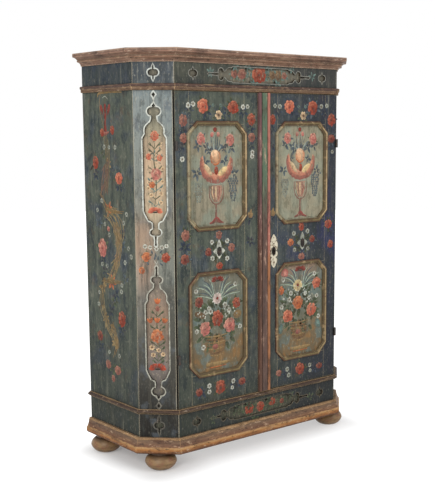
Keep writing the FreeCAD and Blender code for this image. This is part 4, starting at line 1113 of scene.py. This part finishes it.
# %% [markdown]
# ## Lines round the openings
#
# A pale line about 6 mm wide follows the edge of every fret opening. The openings are already in
# the boards, so their outlines are read from them: everything behind the board's face goes, and
# the edges left with one face are outlines. Walked with the face on the left, the board's own
# outline turns anticlockwise and every opening clockwise, which tells them apart.

# %% Opening lines
SAME_POINT = 0.02 * MM


def openings_of(art, node):
    """The outlines of the openings in a fret board's face, as closed paths on the painting."""
    shape = bmesh.new()
    shape.from_mesh(nodes[node].data)
    bmesh.ops.remove_doubles(shape, verts=shape.verts, dist=SAME_POINT)
    bmesh.ops.transform(shape, matrix=art.board.inverted(), verts=shape.verts)
    behind = [vert for vert in shape.verts if vert.co.z < -0.1]
    bmesh.ops.delete(shape, geom=behind, context="VERTS")
    rims = dict.fromkeys(edge for edge in shape.edges if edge.is_boundary)
    paths = []
    while rims:
        edge = next(iter(rims))
        here = edge.link_loops[0].vert
        path = []
        while edge:
            del rims[edge]
            path.append(Vector((here.co.x, here.co.y, 0)))
            here = edge.other_vert(here)
            edge = next((other for other in here.link_edges if other in rims), None)
        turning = sum(a.x * b.y - a.y * b.x for a, b in zip(path, path[1:] + path[:1]))
        if turning < 0:
            paths.append(path)
    shape.free()
    return paths


def beside(path, distance, pitch=11.0):
    """A closed path moved to its left, with its points between 1.5 mm and pitch apart."""
    dense = []
    for here, there in zip(path, path[1:] + path[:1]):
        count = max(1, math.ceil((there - here).length / pitch))
        for index in range(count):
            point = here.lerp(there, index / count)
            if not dense or (point - dense[-1]).length > 1.5:
                dense.append(point)
    moved = []
    for before, here, after in zip(dense[-1:] + dense, dense, dense[1:] + dense[:1]):
        run = (here - before).normalized() + (after - here).normalized()
        reach = 2 * distance / max(1.2, run.length_squared)
        moved.append(here + Vector((-run.y, run.x, 0)) * reach)
    return moved


LINE_TONES = (  # by height in mm
    (1900, paint(176, 180, 172)), (1600, paint(206, 210, 202)), (900, paint(192, 192, 178)),
    (350, paint(142, 138, 124)), (260, paint(96, 94, 86)), (100, paint(70, 70, 64)))


def line_tone(height, dulled):
    """Whiter high up and darker towards the floor, and duller on the dark boards."""
    for (top, above), (foot, below) in zip(LINE_TONES, LINE_TONES[1:]):
        if foot <= height <= top:
            tone = blend(below, above, (height - foot) / (top - foot))
    return blend(tone, paint(84, 78, 66), dulled)


def opening_lines(art, node, dulled=0.0, half=3.0):
    for path in openings_of(art, node):
        line = beside(path, half + 0.3)
        tone = line_tone(sum(point.y for point in line) / len(line), dulled)
        halves = [half * art.between(0.85, 1.15) for point in line]
        art.ribbon(line, halves, (tone, tone), 2, closed=True)


# %% [markdown]
# ## Corners, sides, frieze and plinth
#
# On the canted corners the flowers stand behind the openings, on the recessed board, and only a
# few lie on the fret board between them. The two corners and the two sides mirror each other, so
# each is painted by one function that takes m: 1 on the left and -1 on the right, where across
# runs the other way.

# %% Canted corners
DIAGONAL = math.sqrt(0.5)
half_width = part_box("right_side")[1].x
corner_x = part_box("frieze_fret")[1].x
fret_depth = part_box("frieze_fret")[1].y - front_y
cant_middle = Vector((-(half_width + corner_x) / 2, front_y + (half_width - corner_x) / 2, 0))


def behind_openings(art, m):
    for top, foot in ((1455, 1170), (745, 480)):
        art.stroke([(0, top), (m * -4, top - 70), (m * 5, foot + 110), (m * -4, foot)], 6,
                   DULL_LEAF)
    for v, reach in ((1450, 22), (1425, 26), (1400, 32), (1352, 30), (1300, 32), (1270, 34),
                     (1235, 32), (1205, 30), (720, 26), (692, 30), (655, 34), (585, 34), (560, 30),
                     (520, 30), (500, 24)):
        tone = LEAF if v < 800 else art.hand.choice((DULL_LEAF, TEAL))
        for side in (-1, 1):
            art.stroke([(0, v - 22), (side * reach * 0.6, v - 6), (side * reach, v + 8)], 6, tone)
            art.spoke(side * reach * 0.6, v - 8, 0, 90 - side * 50, 9, 20, tone, 2)
    for index in range(54):
        v = art.between(1180, 1450) if index % 3 else art.between(480, 700)
        u = art.between(-34, 34)
        art.spoke(u, v, 0, art.between(30, 150), 6, 15, (DULL_LEAF, TEAL, CREAM)[index % 3], 1)
    rose(art, 0, 1485, 21, 1.35, CORAL, 4, DULL_LEAF)
    rose(art, m * -27, 1396, 14, 1.3, CORAL, 3, DULL_LEAF)
    rose(art, m * 20, 1392, 15, 1.2, CORAL, 3, DULL_LEAF)
    rose(art, m * 4, 1322, 28, 1.15, PINK, 5, DULL_LEAF)
    rose(art, m * -14, 1276, 16, 1.1, ORANGE, 3, DULL_LEAF)
    for u, v in ((-18, 1232), (25, 1238), (24, 1200), (-30, 1262), (32, 1290), (34, 1345)):
        blossom(art, m * u, v, 10, CREAM)
    half_flower(art, m * -2, 1158, 34, 22, CORAL)
    tulip(art, 0, 752, 26, 90)
    rose(art, 0, 735, 12, 1.3, FADED, 3)
    for u in (-30, -2, 28):
        tulip(art, m * u, 668, 24, 90 - u * 0.5)
    rose(art, m * -4, 612, 33, 1.05, ORANGE, 5, BROWN)
    for u, v in ((-22, 526), (22, 530), (2, 548), (-28, 560)):
        blossom(art, m * u, v, 12, CREAM)
    half_flower(art, m * -4, 462, 40, 26, RED)


def between_openings(art, m):
    for u, v in ((-26, 1006), (2, 1000), (26, 1006), (46, 1012), (-48, 1010)):
        blossom(art, m * u, v, 11)
    rose(art, m * -44, 965, 22, 1.2, ORANGE, 5, DULL_LEAF)
    rose(art, m * 42, 962, 22, 1.2, RED, 5, DULL_LEAF)
    rose(art, m * -64, 905, 16, 1.2, ORANGE, 4, DULL_LEAF)
    for u, v in ((0, 962), (-8, 950), (8, 950), (-16, 975), (16, 978), (0, 990), (30, 925),
                 (-32, 928)):
        art.spoke(m * u, v, 0, art.between(40, 140), 9, 22, BLUE_LEAF, 2)
    for u in (-5, 5):
        art.stroke([(u * 2, 1003), (u, 997), (0, 991), (-u, 985)], 3, WHITE, 3)
        art.stroke([(u * 1.6, 1655), (u * 0.5, 1638), (-u, 1622)], 3, WHITE, 3)
        art.stroke([(u * 1.6, 948), (u * 0.6, 938), (-u, 930)], 3, WHITE, 3)


for side, label in ((-1, "left"), (1, "right")):
    outward = Vector((side * DIAGONAL, -DIAGONAL, 0))
    face = Vector((side * -cant_middle.x, cant_middle.y, 0))
    art = Painting(label + "_corner_inner_flowers", face - outward * fret_depth, outward, 20)
    behind_openings(art, -side)
    art.finish("carcase", over_recess)
    art = Painting(label + "_corner_outer_flowers", face, outward, 21)
    between_openings(art, -side)
    opening_lines(art, label + "_cant_fret")
    art.finish("carcase", over_cant)


# %% Sides
def side_flowers(art, m):
    """A leafy branch in two long curves with flowers at its turns."""
    vine = paint(146, 124, 86), paint(102, 84, 56)
    reed = paint(160, 142, 104), paint(116, 98, 66)

    def at(*points):
        return [(m * u, v) for u, v in points]

    art.stroke(at((-132, 1660), (-128, 1674), (-60, 1680), (62, 1676)), 13, OCHRE)
    art.stroke(at((-95, 1655), (-72, 1662), (-50, 1648)), 5, DULL_WHITE, 2)
    art.stroke(at((-112, 1672), (-120, 1640), (-118, 1600), (-80, 1500)), 5, vine)
    for u, turn in ((-75, 90), (-92, 112), (-58, 68)):
        art.spoke(m * u, 1575, 0, 90 + (turn - 90) * m, 24, 62, DARK_RED, 2, taper=-0.1)
    art.stroke(at((-75, 1590), (-78, 1550), (-76, 1508)), [26, 18, 24], DARK_RED, 2)
    art.stroke(at((-118, 1504), (-80, 1498), (-46, 1506)), 20, FADED, 3)
    sheaf(art, at((-78, 1500), (-66, 1440), (-60, 1370), (-72, 1300), (-86, 1230)), 14, 5, 7,
          (paint(122, 112, 84), paint(90, 82, 62)))
    rust = paint(134, 100, 82), paint(92, 70, 60)
    sheaf(art, at((-70, 1370), (-88, 1290), (-100, 1215)), 30, 7, 7, rust)
    sheaf(art, at((-132, 1242), (-80, 1172), (10, 1160)), 6, 3, 7, vine)
    sheaf(art, at((-92, 1166), (-20, 1160), (52, 1162)), 8, 4, 9, OCHRE, 2)
    curve = at((-84, 1158), (-12, 1112), (12, 1046), (2, 962), (-40, 862), (-102, 832))
    sheaf(art, curve, 30, 9, 6, reed)
    sheaf(art, curve[1:5], 16, 4, 5, (CREAM[1], vine[1]), 3)
    sheaf(art, at((-130, 838), (-50, 840), (30, 836)), 10, 5, 7, vine, 2)
    curve = at((-126, 815), (-140, 735), (-112, 662), (-80, 612), (-42, 580), (-30, 536))
    sheaf(art, curve, 18, 6, 5, reed)
    sheaf(art, at((-60, 640), (-20, 560), (-40, 500)), 12, 4, 7, OCHRE)
    for u, v, reach, tone in (
            (-60, 1370, 26, OCHRE), (-65, 1165, 36, ORANGE), (-50, 832, 36, ORANGE),
            (10, 1046, 32, vine), (-130, 800, 30, OCHRE), (-112, 662, 26, vine),
            (-35, 558, 30, OCHRE), (-30, 905, 30, LEAF), (40, 1010, 28, BLUE_LEAF),
            (-150, 1100, 28, BLUE_LEAF), (60, 860, 26, BLUE_LEAF), (-30, 750, 30, LEAF),
            (-60, 430, 26, LEAF), (-96, 1410, 24, LEAF), (0, 1340, 28, BLUE_LEAF)):
        leaves(art, m * u, v, 4, 6, reach, tone, art.between(0, 60))
    art.spoke(m * -178, 1362, 0, 90 + 128 * m, 16, 52, DARK, 1)
    for u, v, count in ((-165, 1320, 5), (30, 1265, 5), (-120, 930, 6), (28, 625, 5),
                        (-160, 520, 4), (-70, 1120, 4), (50, 1060, 5), (-20, 780, 5),
                        (-110, 880, 4), (-60, 700, 4)):
        leaves(art, m * u, v, 3, count, 34, NIGHT, art.between(0, 90))
    for u, v, size, tall, tone in (
            (-20, 1515, 21, 1.2, RED), (-165, 1370, 30, 1.2, RED), (25, 1305, 33, 1.0, CORAL),
            (-125, 985, 42, 1.2, PINK), (25, 675, 36, 1.3, RED), (-165, 570, 29, 0.95, DARK_RED),
            (-100, 445, 25, 1.0, FADED), (-20, 430, 30, 0.75, FADED), (-60, 385, 18, 1.1, FADED),
            (-70, 1075, 14, 1.0, PINK), (-104, 1504, 19, 1.2, RED)):
        rose(art, m * u, v, size, tall, tone, 5)
    for u, v in ((-90, 1440), (-50, 1440), (0, 1440), (-100, 1095), (55, 1110), (80, 1150),
                 (90, 1000), (110, 965), (-90, 905), (-130, 910), (-165, 775), (-170, 720),
                 (30, 830), (25, 800), (-90, 505), (-5, 500), (-120, 1200), (-160, 1155),
                 (-66, 1048), (60, 935)):
        blossom(art, m * u, v, 12, DULL_WHITE, BLUE_LEAF)


MIDDLE_OF_SIDE = 0.0275  # m, from the cupboard's middle towards its back
LOWERED = 0.005  # m, by which the flowers on the sides sit lower than their heights say
for side, label in ((-1, "left"), (1, "right")):
    face = (side * half_width, MIDDLE_OF_SIDE, -LOWERED)
    art = Painting(label + "_side_flowers", face, (side, 0, 0), 30)
    side_flowers(art, -side)
    art.finish("carcase", over_ground)

# %% Frieze and plinth
recess_y = front_y + fret_depth
art = Painting("frieze_inner_flowers", (0, recess_y, 0), TO_FRONT, 40)
art.stroke([(-170, 1752), (-60, 1744), (60, 1746), (170, 1752)], 7, DULL_LEAF)
for u in range(-150, 151, 30):
    leaves(art, u, 1750, 4, 4, 26, art.hand.choice((DULL_LEAF, TEAL, LEAF)), u)
for u, size, tall, tone in ((-5, 48, 0.95, RED), (-105, 28, 1.0, FADED), (-150, 22, 1.0, FADED),
                            (75, 22, 1.0, BROWN), (112, 26, 1.0, BROWN), (150, 18, 1.0, FADED)):
    rose(art, u, 1755, size, tall, tone, 6, TEAL)
art.finish("carcase", over_recess)
art = Painting("plinth_inner_flowers", (0, recess_y, 0), TO_FRONT, 41)
art.stroke([(-170, 205), (-60, 198), (60, 202), (170, 208)], 7, LEAF)
for u in range(-150, 151, 30):
    leaves(art, u, 204, 4, 4, 24, LEAF, u)
for u, v, size, tall, tone in ((-70, 205, 32, 0.85, RED), (0, 205, 27, 1.1, RED),
                               (76, 214, 26, 0.8, RED), (138, 206, 16, 0.9, DARK_RED)):
    rose(art, u, v, size, tall, tone, 6)
art.finish("carcase", over_recess)
for label, level, tone, dulled in (("frieze", 1752, TEAL, 0.68), ("plinth", 192, LEAF, 0.85)):
    art = Painting(label + "_outer_leaves", (0, front_y, 0), TO_FRONT, 42)
    for u, v in ((-78, 35), (-40, -42), (50, 38), (100, -40), (-150, 36), (190, 36), (-290, 2),
                 (320, 4)):
        leaves(art, u, level + v, 2, 5, 24, tone, art.between(0, 90))
    opening_lines(art, label + "_fret", dulled, 2.0)
    art.finish("carcase", over_ground)

# %% [markdown]
# ## Floor and light
#
# The floor is white and plain. Where it is seen it glows by itself, which keeps it white: wholly
# from 25 cm beyond the cupboard, which hides the floor's edge, and less the nearer it lies, which
# leaves the soft shadow round the feet. Only the rays that show the floor, straight
# or by way of metal or glass, find that glow, so the boards aren't lit by it. The same holds for
# the white backdrop. A broad lamp on the left reaches into the fret openings.

# %% Floor
FOOTPRINT = (0.58, 0.22, 0.0)  # m, half the width and depth that stand over the floor
GLOW_EDGE = 0.25  # m beyond the footprint, where the floor is wholly white
LEAST_GLOW, MORE_ON_RIGHT = 0.14, 0.24  # under the cupboard, at its left end and further right
GLOW_STRENGTH = 1.35


def in_sight(shade):
    """1 where a thing is seen, straight or in metal or glass, and 0 where it lights others."""
    straight, in_metal, in_glass = [
        shade.node("LightPath", {}, {}, output=kind)
        for kind in ("Is Camera Ray", "Is Glossy Ray", "Is Transmission Ray")]
    return greater(greater(straight, in_metal), in_glass)


bpy.ops.mesh.primitive_circle_add(vertices=96, radius=14.0, fill_type="NGON", location=(0, 0, 0))
floor = bpy.context.object
floor.name = "floor"
floor_white, place = new_material("floor_white")
tree = floor_white.node_tree
surface = tree.nodes["Principled BSDF"]
surface.inputs["Base Color"].default_value = (0.80, 0.80, 0.80, 1.0)
surface.inputs["Roughness"].default_value = 0.9
beyond = place.vector("SUBTRACT", place.vector("ABSOLUTE", place), FOOTPRINT)
beyond = place.vector("MAXIMUM", beyond, (0.0, 0.0, 0.0))
far = step(place.vector("LENGTH", beyond, output=1), 0.0, GLOW_EDGE)
near = LEAST_GLOW + step(numbers_of(place)[0], -0.55, -0.25) * MORE_ON_RIGHT
glow = in_sight(place) * (near + far * (1 - near))
light = place.node("Emission", {}, {"Color": (1, 1, 1, 1), "Strength": GLOW_STRENGTH})
both = place.node("MixShader", {}, {0: glow, 1: Shade(tree, surface.outputs[0]), 2: light})
tree.links.new(both.socket, tree.nodes["Material Output"].inputs["Surface"])
floor.data.materials.append(floor_white)
print(floor.name, "glows wholly from", GLOW_EDGE, "m beyond the cupboard")

# %% Light
MIDDLE = Vector((0.0, 0.0, 0.9))  # of the cupboard
SKY_ON_BOARDS = 0.58  # strength of the sky as a light; where it is seen it is 1, which is white
world = bpy.data.worlds.new("studio")
bpy.context.scene.world = world
world.use_nodes = True
backdrop = world.node_tree.nodes["Background"]
sky = in_sight(Shade(world.node_tree, None)) * (1 - SKY_ON_BOARDS) + SKY_ON_BOARDS
world.node_tree.links.new(sky.socket, backdrop.inputs["Strength"])
backdrop.inputs["Color"].default_value = (1.0, 1.0, 1.0, 1.0)


def soft_lamp(name, place, size, power):
    """A square lamp that faces the middle of the cupboard."""
    data = bpy.data.lights.new(name, "AREA")
    data.size = size
    data.energy = power
    lamp = bpy.data.objects.new(name, data)
    lamp.location = place
    lamp.rotation_euler = (MIDDLE - Vector(place)).to_track_quat("-Z", "Y").to_euler()
    bpy.context.scene.collection.objects.link(lamp)
    print(name, "lamp,", power, "W")


soft_lamp("window", (-4.6, -2.6, 3.0), 2.2, 150.0)
soft_lamp("room", (1.5, -5.0, 3.2), 3.0, 90.0)
